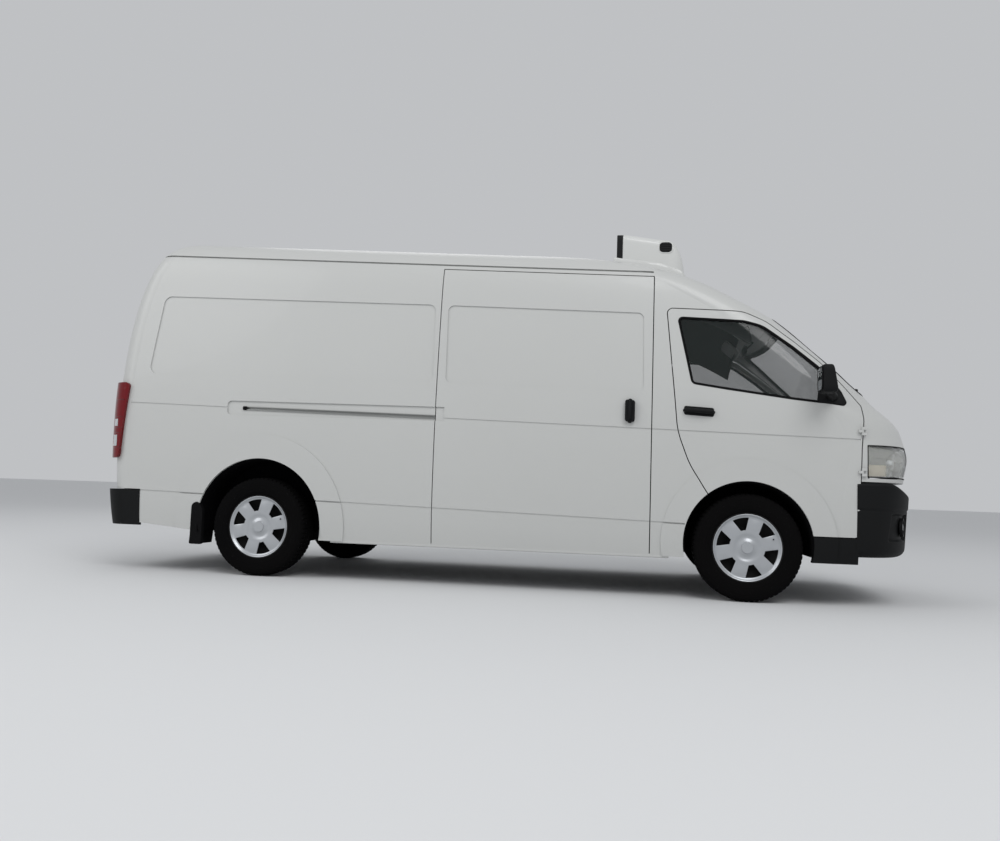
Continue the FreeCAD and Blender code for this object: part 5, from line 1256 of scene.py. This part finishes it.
    def fog(self) -> None:
        """A round fog lamp in its bezel, in the bumper's recess and turned to face as the bumper does there."""
        share = self.fog_y / SKIN.half_width
        slope = share ** 2 / SKIN.half_width, (1 - share ** 3) ** (2 / 3) / SKIN.nose_depth
        lean = math.atan2(*slope) * self.side.value
        reach = float(SKIN.end_reach(self.fog_y, self.fog_z, True))
        cos_l, sin_l = math.cos(lean), math.sin(lean)
        axes = np.array([[cos_l, sin_l, 0.0], [-sin_l, cos_l, 0.0], [0.0, 0.0, 1.0]])
        centre = np.array([reach, self.side.value * self.fog_y, self.fog_z]) + axes[0] * 0.0175
        for name, profile, finish in (("bezel", self.bezel, BLACK_MOULDING), ("lens", self.fog_lens, FOG_LENS)):
            form = lathe(np.array(profile), np.zeros(3), 0, 72)
            place(f"fog_{name}_{self.side.word}", [form.moved(centre, axes)], finish)


def smooth(value: Array) -> Array:
    """A smooth step from 0 to 1: 3 v squared less 2 v cubed, with v held between 0 and 1."""
    value = np.clip(value, 0, 1)
    return value * value * (3 - 2 * value)


def between(value: Array, limits: Limits, blur: float) -> Array:
    """1 between two limits and 0 outside them, with a smooth step of the blur's width inside each."""
    return smooth((value - limits[0]) / blur) * smooth((limits[1] - value) / blur)


@dataclass
class FrontBumper:
    """The moulded front bumper: a shoulder that drops at the nose, fog recesses and a slatted intake."""

    top: float = 0.7325
    top_drop: float = 0.068
    bottom: float = 0.2915
    back_x: float = 2.2435
    nose_proud: float = 0.0545
    side_proud: float = 0.0035
    inner: float = -0.035
    shoulder_radius: float = 0.024
    lower_radius: float = 0.050
    step_height: float = 0.572
    step_depth: float = 0.0045
    groove_depth: float = 0.004
    fog_across: Limits = (0.56, 0.86)
    fog_heights: Limits = (0.385, 0.556)
    fog_depth: float = 0.026
    intake_half: float = 0.46
    intake_heights: Limits = (0.395, 0.545)
    intake_depth: float = 0.032
    blur: float = 0.016
    side_blur: float = 0.022
    end_angle: float = 1.44
    slat_heights: tuple[float, ...] = (0.432, 0.470, 0.508)

    def build(self) -> None:
        """Makes the shell, and the slats across its intake.

        The section is a closed ring: a quarter circle over the shoulder, the face, a larger quarter circle under it
        and a plain inner wall. Each of its points lies on its level's bowed outline, moved out along the outline's
        normal (X squared over the depth, Y squared over the half width); recesses take their depth away through
        smooth steps in y and z.
        """
        quarter = np.linspace(0, np.pi / 2, 9)
        run = np.linspace(1, 0, 84)[1:-1]
        share = np.concatenate([np.ones(9), run, np.zeros(9), [0.0, 1.0]])[:, None]
        lift = np.concatenate([self.shoulder_radius * (np.cos(quarter) - 1),
                               -self.shoulder_radius * run + self.lower_radius * (1 - run),
                               self.lower_radius * (1 - np.sin(quarter)), [0.004, -0.004]])[:, None]
        inset = np.concatenate([self.shoulder_radius * (1 - np.sin(quarter)), 0 * run,
                                self.lower_radius * (1 - np.cos(quarter)), [0.0, 0.0]])[:, None]
        ahead, aside = SKIN.bow(np.linspace(-self.end_angle, self.end_angle, 341)[None])
        top = self.top - self.top_drop * smooth((ahead - 0.55) / 0.40)
        z = self.bottom + (top - self.bottom) * share + lift
        level = SKIN.level(2.6, z)
        tip, wide = np.interp(level, *SKIN.front), np.interp(level, *SKIN.flank)
        out = self.side_proud + (self.nose_proud - self.side_proud) * ahead ** 2 - inset
        y = np.abs(wide * aside)
        fog = between(y, self.fog_across, self.side_blur) * between(z, self.fog_heights, self.blur)
        intake = smooth((self.intake_half - y) / 0.02) * between(z, self.intake_heights, self.blur)
        below = 1 - smooth((z - self.step_height + 0.006) / 0.008)
        groove = np.exp(-((z - self.step_height) / 0.006) ** 2)
        out = out - self.fog_depth * fog - self.intake_depth * intake
        out = out - self.step_depth * below - self.groove_depth * groove
        out[-2:] = self.inner
        across, along = ahead ** 2 / SKIN.nose_depth, np.sign(aside) * aside ** 2 / wide
        size = np.hypot(across, along)
        x = tip - SKIN.nose_depth * (1 - ahead) + across / size * out
        grid = points_at(np.maximum(x, self.back_x), wide * aside + along / size * out, z)
        place("front_bumper_shell", [closed_tube(np.swapaxes(grid, 0, 1))], BLACK_MOULDING, crease=40.0,
              replaced=("front_bumper",))
        y = np.linspace(-0.455, 0.455, 60)
        slats = [pipe(points_at(SKIN.end_reach(y, z, True) + 0.034, y, z), 0.0085, 10, 0.7)
                 for z in self.slat_heights]
        place("intake_slats", slats, BLACK_MOULDING)


@dataclass
class Wiper:
    """A wiper at rest on the windscreen or, where front is false, on the tailgate's window.

    It has a pivot cap, a tapering arm that rises from it, and a blade on the glass whose far end is at tip_y.
    """

    name: str
    pivot_y: float
    tip_y: float
    pivot_z: float
    blade_z: float
    front: bool
    body: str

    def build(self) -> None:
        """Fits the wiper."""
        share = np.linspace(0, 1, 30)
        reach = self.tip_y - self.pivot_y
        y = self.pivot_y + reach * 0.58 * share
        z = self.pivot_z + (self.blade_z - self.pivot_z) * share ** 0.7
        arm = SKIN.end(y, z, 0.009 + 0.007 * np.sin(share * np.pi), self.front)
        blade_y = self.pivot_y + reach * np.linspace(0.16, 1.0, 36)
        bow = 0.006 * np.sin(np.linspace(0, np.pi, 36))
        blade = SKIN.end(blade_y, self.blade_z - bow, 0.0035, self.front)
        spine = SKIN.end(blade_y[3:-3], self.blade_z - bow[3:-3], 0.0105 + bow[3:-3] * 0.4, self.front)
        cap = SKIN.end(np.full(2, self.pivot_y), np.full(2, self.pivot_z), np.array([-0.004, 0.020]), self.front)
        place(self.name, [pipe(arm, np.linspace(0.009, 0.005, 30), 12, 0.6), pipe(spine, 0.004, 10, 0.7),
                          pipe(cap, 0.015, 24)], BLACK_MOULDING, self.body)
        place(f"{self.name}_rubber", [pipe(blade, 0.0045, 8)], SEAL_RUBBER, self.body)


@dataclass
class RoofUnit:
    """The condenser on the roof: hood, coil and its frame, fairing, fan guards and side vents."""

    half: float = 0.500
    edge: float = 0.004
    corner: float = 0.045
    draw_in: float = 0.05
    back_x: float = 0.800
    frame_x: float = 0.842
    slope_x: float = 1.135
    front_x: float = 1.252
    rear_top: float = 2.384
    front_top: float = 2.336
    foot: float = 2.095
    fairing_half: float = 0.515
    fairing_x: float = 1.22
    fairing_round: float = 0.045
    fan_y: float = 0.245
    fan_z: float = 2.3085
    guard_radii: tuple[float, ...] = (0.018, 0.034, 0.050, 0.0675)
    guard_wire: float = 0.0019
    vent_x: float = 1.128
    vent_z: float = 2.279
    coil_spans: Pairs = ((-0.476, -0.325), (-0.165, 0.165), (0.325, 0.476))
    coil_pitch: float = 0.0022
    coil_heights: Limits = (2.230, 2.364)

    def base_top(self, x: Array) -> Array:
        """The height of the fairing's upper edge, which falls with the roof."""
        return np.interp(x, [0.78, 1.10, 1.27], [2.216, 2.168, 2.105])

    def shell(self, sections: Array) -> Form:
        """A closed shell through upright sections across the van, each a rectangle with rounded upper corners.

        Args:
            sections: for each section its x, its half width, its lower and upper edge and its corners' radius.

        Returns:
            The shell.
        """
        rings = []
        for x, half, low, high, radius in sections:
            corners = ((-half, low, self.edge), (half, low, self.edge), (half, high, radius), (-half, high, radius))
            rings.append(raised(outline_of(corners, 200, 9), 0, x))
        return closed_tube(np.stack(rings))

    def hood(self) -> None:
        """Makes the hood and the coil's frame, whose near-black is painted shade inside the opening.

        The hood's top runs down in a line and then as a quarter ellipse; its sides draw in near the front the same
        way. The frame behind it is open at its back, with the coil's dark face deep inside.
        """
        turn = np.linspace(0, np.pi / 2, 14)[:-1]
        x = np.concatenate([[self.frame_x, self.frame_x + self.edge],
                            np.linspace(self.frame_x + 0.03, self.slope_x, 8)[:-1],
                            self.slope_x + (self.front_x - self.slope_x) * np.sin(turn)])
        ellipse = np.sqrt(1 - np.clip((x - self.slope_x) / (self.front_x - self.slope_x), 0, 1) ** 2)
        high = np.interp(x, [self.frame_x, self.slope_x], [self.rear_top, self.front_top])
        high = self.foot + (high - self.foot) * ellipse
        half = self.half - self.draw_in * (1 - ellipse)
        half[0] -= self.edge
        high[0] -= self.edge
        low = np.minimum(self.base_top(x) - 0.02, high - 0.03)
        sections = zip(x, half, low, high, np.minimum(self.corner, (high - low) / 2.2))
        place("unit_hood", [self.shell(sections)], UNIT_WHITE, crease=32.0, replaced=("unit_housing",))
        frame = ((0.872, 0.010), (self.back_x + 0.004, 0.010), (self.back_x + 0.002, 0.008),
                 (self.back_x + 0.002, 0.002), (self.back_x + 0.004, 0.0), (self.frame_x + 0.02, 0.0))
        sections = [(at, self.half - 0.010 - inset, 2.214 + inset, 2.3795 - inset, 0.03) for at, inset in frame]
        # The frame's near-black is painted shade inside the coil's opening.
        place("coil_frame", [self.shell(sections)], DARK_SHADE, crease=32.0)

    def fairing(self) -> None:
        """The fairing between the hood and the roof, whose front edge is a quarter circle in plan and side view."""
        turn = np.linspace(0, np.pi / 2, 14)[1:-1]
        x = np.concatenate([[0.783, 0.787], np.linspace(0.80, self.fairing_x, 14),
                            self.fairing_x + self.fairing_round * np.sin(turn)])
        circle = np.sqrt(1 - np.clip((x - self.fairing_x) / self.fairing_round, 0, 1) ** 2)
        high = self.base_top(x) - 0.04 * (1 - circle)
        half = self.fairing_half - 0.03 * (1 - circle)
        half[0] -= self.edge
        high[0] -= self.edge
        low = np.minimum(SKIN.roof_at(x) - 0.05, high - 0.03)
        sections = zip(x, half, low, high, np.full(len(x), 0.012))
        place("unit_fairing", [self.shell(sections)], UNIT_WHITE, crease=32.0, replaced=("unit_base",))

    def guards(self) -> None:
        """A wire guard before each fan: four rings and four crossed bars."""
        turn = full_turn(10)
        wire = self.guard_wire * np.stack([np.cos(turn), np.sin(turn)], axis=-1)
        outer = self.guard_radii[-1]
        for side in SIDES:
            centre = np.array([self.back_x + 0.010, side.value * self.fan_y, self.fan_z])
            forms = [lathe(wire + np.array([radius, 0.0]), centre, 0, 64) for radius in self.guard_radii]
            for lean in (0.0, math.pi / 2, math.pi / 4, -math.pi / 4):
                arm = np.array([0.0, outer * math.cos(lean), outer * math.sin(lean)])
                middle = centre + np.array([0.002, 0.0, 0.0])
                forms.append(pipe([middle - arm, middle + arm], self.guard_wire, 8))
            place(f"fan_guard_{side.word}", forms, BLACK_MOULDING)

    def side_vents(self) -> None:
        """The oval vents in the unit's sides: a dished plate and slats in painted shade, and a raised lip."""
        x, z = self.vent_x, self.vent_z
        outline = outline_of(rectangle((x - 0.045, x + 0.045), (z - 0.038, z + 0.038), 0.030), 96, 10)
        for side in SIDES:
            y, out = side.value * self.half, side.value
            low, high = sorted((y - 0.0005 * out, y + 0.0012 * out))
            slats = [pipe([(x + reach, y + 0.0018 * out, z + lift) for reach in (-0.040, 0.040)], 0.0028, 10)
                     for lift in (-0.020, -0.007, 0.007, 0.020)]
            # The plate's and slats' near-black is painted shade of the vent's inside.
            place(f"vent_plate_{side.word}", [slab(outline, 1, low, high, 0.0003)], DARK_SHADE)
            place(f"vent_lip_{side.word}", [bead(outline, 1, y, 0.004, 0.003 * out)], UNIT_WHITE)
            place(f"vent_slats_{side.word}", slats, DARK_SHADE)

    def coil(self) -> None:
        """The finned coil across the unit's rear, between and beside the fans."""
        z = np.array(self.coil_heights)[:, None]
        for index, (low, high) in enumerate(self.coil_spans):
            y = np.linspace(low, high, int((high - low) / self.coil_pitch))[None]
            face = points_at(self.back_x + 0.030 - self.coil_pitch * (np.arange(y.size) % 2), y, z)
            rear = points_at(self.back_x + 0.034, y, z)
            place(f"coil_{index}", [closed_tube(np.swapaxes(np.concatenate([face, rear[::-1]]), 0, 1))], COIL_FINS)

    def build(self) -> None:
        """Makes the whole unit."""
        self.hood()
        self.fairing()
        self.guards()
        self.side_vents()
        self.coil()


@dataclass
class Seat:
    """A padded seat: a crowned cushion, a leaning backrest with sewn channels, and headrests on posts."""

    name: str
    node: str
    inner: float
    outer: float
    places: int
    back_x: float = 1.220
    front_x: float = 1.720
    floor: float = 0.761
    lean: float = math.pi / 2 - 0.12
    crown: float = 0.016
    sink: float = 0.010
    seam_depth: float = 0.0055
    seam_half: float = 0.010
    edge_seam: float = 0.003
    channel_reach: float = 0.62

    def pad(self, name: str, middle: Point, half: Point, tilt: float, channels: int) -> bpy.types.Object:
        """One padded part: a rounded block crowned over its face, with seams pressed in.

        The face's height gains the crown times (1 - a squared)(1 - b squared), with a and b the shares along and
        across it, and loses the seam's depth near each channel by a narrow bell curve.

        Args:
            name: what its name adds to the seat's.
            middle: its middle.
            half: half its size, with the face upwards.
            tilt: how far it is turned back about Y, in radians. The channels of an upright pad run across it.
            channels: how many sewn channels it has.

        Returns:
            The pad.
        """
        form = soft_block((0, 0, 0), half, 0.24, 64, 128)
        points = form.points
        a, b, c = (points / np.array(half)).T
        across, size = (a, half[0]) if tilt else (b, half[1])
        crown = self.crown * np.clip(1 - a ** 2, 0, 1) * np.clip(1 - b ** 2, 0, 1) - self.sink
        lines = np.linspace(-self.channel_reach, self.channel_reach, channels)
        press = sum(self.seam_depth * np.exp(-((across - line) * size / self.seam_half) ** 2) for line in lines)
        edge_seam = self.edge_seam * np.exp(-((c - 0.55) / 0.06) ** 2)
        points[:, 2] += np.clip(c, 0, 1) * (crown - press)
        points[:, 0] -= edge_seam * np.sign(a) * (np.abs(a) > 0.9)
        points[:, 1] -= edge_seam * np.sign(b) * (np.abs(b) > 0.9)
        piece = place(f"{self.name}_{name}", [form.moved(np.array(middle), tilt_axes(tilt))], SEAT_CLOTH, crease=70.0)
        return piece

    def build(self) -> None:
        """Makes the seat's pads, posts and plinth."""
        wide, y = (self.outer - self.inner) / 2, (self.outer + self.inner) / 2
        length = (self.front_x - self.back_x) / 2
        x, floor = self.back_x + length, self.floor
        cushion = self.pad("cushion", (x, y, floor + 0.095), (length - 0.006, wide - 0.006, 0.052), 0.0,
                           2 * self.places)
        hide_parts(self.node)
        self.pad("backrest", (self.back_x + 0.055, y, floor + 0.425), (0.255, wide - 0.010, 0.052), self.lean, 3)
        plinth = soft_block((x, y, floor + 0.022), (length - 0.03, wide - 0.03, 0.022), 0.12, 16, 40)
        place(f"{self.name}_plinth", [plinth], BLACK_MOULDING)
        for index in range(self.places):
            y = self.inner + 2 * wide / self.places * (index + 0.5)
            middle = (self.back_x + 0.022, y, floor + 0.765)
            self.pad(f"headrest_{index}", middle, (0.072, 0.125, 0.036), self.lean, 0)
            posts = [pipe([(self.back_x + 0.030, y + out, floor + 0.64),
                           (self.back_x + 0.024, y + out, floor + 0.74)], 0.006, 12) for out in (-0.06, 0.06)]
            place(f"{self.name}_posts_{index}", posts, RAIL_STEEL)


@dataclass
class Cab:
    """The cab's inside: instruments, vents, wheel, levers, visors and door panels."""

    driver_y: float = 0.42
    dial: Pairs = ((0.0001, 0.0), (0.042, 0.0), (0.046, -0.004), (0.050, 0.0), (0.050, 0.006), (0.0001, 0.006))
    vent_places: tuple[float, ...] = (-0.66, -0.12, 0.12, 0.68)
    vent_heights: tuple[float, ...] = (1.140, 1.152, 1.164, 1.176)
    wheel_tilt: float = math.radians(40.0)
    visor_tilt: float = 0.72

    def dashboard(self) -> None:
        """Fits the instruments, the vents, the glove lid and the gear lever."""
        hood = soft_block((2.085, self.driver_y, 1.232), (0.085, 0.19, 0.032), 0.45)
        place("instrument_hood", [hood], GREY_MOULDING)
        dials = [lathe(np.array(self.dial), np.array([2.028, self.driver_y + out, 1.165]), 0, 48)
                 for out in (-0.062, 0.062)]
        place("dials", dials, DARK_SHADE)
        vents = [pipe([(2.027, y - 0.05, z), (2.027, y + 0.05, z)], 0.003, 8)
                 for y in self.vent_places for z in self.vent_heights]
        place("air_vents", vents, BLACK_MOULDING)
        lid = outline_of(rectangle((-0.50, -0.14), (1.00, 1.11), 0.02), 100)
        place("glove_lid", [slab(lid, 0, 2.022, 2.032, 0.003)], GREY_MOULDING)
        lever = np.linspace((2.03, 0.02, 1.03), (1.93, 0.02, 1.10), 20)
        knob = soft_block((1.925, 0.02, 1.105), (0.022, 0.022, 0.026), 0.8, 16, 24)
        place("gear_lever", [pipe(lever, 0.008, 12), knob], BLACK_MOULDING)

    def door_cards(self) -> None:
        """The front doors' inner panels: a thin sheet that follows the door under its window, and an armrest."""
        x, z = np.meshgrid(np.linspace(1.30, 2.20, 30), np.linspace(0.755, 1.14, 20))
        along = np.linspace(0, 1, 20)
        for side in SIDES:
            body = f"door_{side.word}"
            sheets = [SKIN.side(x, z, proud, side) for proud in (-0.0465, -0.0505)]
            place(f"door_card_{side.word}", walled(*sheets), GREY_MOULDING, body, 40.0)
            rest = SKIN.side(1.42 + 0.42 * along, 0.98 + 0.02 * along, -0.062, side)
            bar = pipe(rest, 0.014 + 0.010 * np.sin(along * np.pi) ** 0.4, 16, 0.8)
            place(f"armrest_{side.word}", [bar], BLACK_MOULDING, body)

    def headlining(self) -> None:
        """The felt under the cab's roof: a thin sheet from one side's cant rail to the other.

        Its height is the roof's less a thickness, and less a fourth power of the share across.
        """
        across, x = np.linspace(-0.80, 0.80, 48)[None], np.linspace(1.10, 1.66, 24)[:, None]
        z = SKIN.roof_at(x) - 0.075 - 0.24 * np.abs(across / 0.80) ** 4
        face = points_at(x, across, z)
        upper = face + np.array([0.0, 0.0, 0.004])
        sheet = closed_tube(np.concatenate([face, upper[:, ::-1]], axis=1))
        place("headlining", [sheet], HEAD_LINING, crease=40.0)

    def build(self) -> None:
        """Fits the cab out, with the wheel's boss on the wheel's own tilted plane, the mirror and the visors."""
        self.dashboard()
        self.door_cards()
        self.headlining()
        cos_t, sin_t = math.cos(self.wheel_tilt), math.sin(self.wheel_tilt)
        axes = np.array([[-cos_t, 0.0, sin_t], [0.0, 1.0, 0.0], [sin_t, 0.0, cos_t]])
        boss = soft_block((0, 0, 0), (0.030, 0.075, 0.055), 0.45, 24, 40)
        centre = np.array([1.925, self.driver_y, 1.18]) + axes[0] * 0.018
        place("wheel_boss", [boss.moved(centre, axes)], BLACK_MOULDING, "steering_wheel")
        mirror = soft_block((1.70, 0.0, 1.660), (0.012, 0.110, 0.030), 0.5, 20, 40)
        stem = pipe([(1.705, 0.0, 1.665), (1.76, 0.0, 1.725)], 0.006, 12)
        place("cab_mirror", [mirror, stem], BLACK_MOULDING)
        visor = soft_block((0, 0, 0), (0.072, 0.190, 0.009), 0.3, 16, 40)
        for side in SIDES:
            middle = np.array([1.635, side.value * 0.36, 1.725])
            place(f"sun_visor_{side.word}", [visor.moved(middle, tilt_axes(self.visor_tilt))], LINING)


@dataclass
class Fittings:
    """What else the body carries: handles, brake lamp, rail end, sill flanges, step treads and propeller shaft."""

    lamp_section: Pairs = ((0.010, -0.003), (0.0, -0.003), (0.0, 0.007), (-0.003, 0.010), (-0.010, 0.011))
    pull_section: Pairs = ((0.0, -0.004), (0.0, 0.010), (-0.004, 0.014), (-0.020, 0.015))

    def build(self) -> None:
        """Fits the pieces of the tailgate, the sliding door, the sills, the rear bumper and the underbody."""
        lamp = tail_pad(rectangle((-0.16, 0.16), (1.965, 1.995), 0.012), 120, self.lamp_section, False)
        place("high_brake_lamp", [lamp], RED_LENS, "tailgate", 50.0)
        pull = tail_pad(rectangle((-0.17, 0.17), (1.115, 1.175), 0.02), 140, self.pull_section, True)
        place("tailgate_pull", [pull], BLACK_MOULDING, "tailgate", 40.0)
        bar = bowed_bar((0.922, 1.127), (0.0, 0.064), 0.031, Side.RIGHT)
        place("slide_pull", [pipe(bar, 0.014, 16, 0.9)], BLACK_MOULDING)
        rail = SKIN.side(np.array([-1.622, -1.598]), np.array([1.1014, 1.1006]), -0.008, Side.RIGHT)
        place("rail_end", [pipe(rail, 0.013, 16)], SEAL_RUBBER)
        for side in SIDES:
            path = SKIN.side(np.linspace(-0.98, 1.17, 60), 0.262, -0.006, side)
            path[:, 2] -= 0.012
            place(f"sill_flange_{side.word}", [pipe(path, 0.006, 8, 2.0)], BODY_ENAMEL)
            y = side.value * np.linspace(0.10, 0.62, 20)
            ribs = [pipe(points_at(SKIN.end_reach(y, 0.53, False) - 0.012 - 0.009 * row, y, 0.5365), 0.0028, 8)
                    for row in range(4)]
            place(f"bumper_tread_{side.word}", ribs, BLACK_MOULDING)
        line = np.linspace((1.17, 0.0, 0.405), (-1.34, 0.0, 0.335), 30)
        forks = [soft_block(line[index], (0.045, 0.045, 0.045), 0.6, 16, 24) for index in (1, 14, -2)]
        place("propeller_shaft", [pipe(line, 0.032, 20)] + forks, CHASSIS_PAINT)


def dress_solids(nodes: dict[str, bpy.types.Object]) -> None:
    """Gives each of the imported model's own solids its finish; they keep their shapes."""
    for name, solid in sorted(nodes.items()):
        solid.data.materials.clear()
        solid.data.materials.append(NODE_FINISHES[name].build())
        log.info("%s: %s", name, NODE_FINISHES[name].name)


def main() -> None:
    """Builds the studio and dresses the van."""
    logging.basicConfig(level=logging.INFO)
    for item in list(bpy.data.objects):
        bpy.data.objects.remove(item)
    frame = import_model()
    bpy.context.scene.view_settings.view_transform = "Standard"
    Studio().build()
    dress_solids(frame["nodes"])
    for end, x in (("front", 1.63), ("rear", -1.48)):
        for side in SIDES:
            Wheel(end, x, side).build()
    ArchLiner("front", 1.63, 0.374, 0.507, 0.921).build()
    ArchLiner("rear", -1.48, 0.426, 0.655, 0.927).build()
    MudFlap().build()
    Glazing().build()
    for side in SIDES:
        fittings, lamps = DoorFittings(side), Lamps(side)
        for part in (fittings.mirror, fittings.handle, lamps.head, lamps.tail, lamps.fog):
            part()
    FrontBumper().build()
    Wiper("front_wiper_0", -0.04, -0.60, 1.286, 1.318, True, "root").build()
    Wiper("front_wiper_1", 0.56, -0.02, 1.286, 1.318, True, "root").build()
    Wiper("rear_wiper", 0.05, 0.50, 1.295, 1.352, False, "tailgate").build()
    RoofUnit().build()
    Seat("driver", "driver_seat", 0.160, 0.700, 1).build()
    Seat("bench", "passenger_bench", -0.740, 0.060, 2).build()
    Cab().build()
    Fittings().build()


if __name__ == "__main__":
    main()
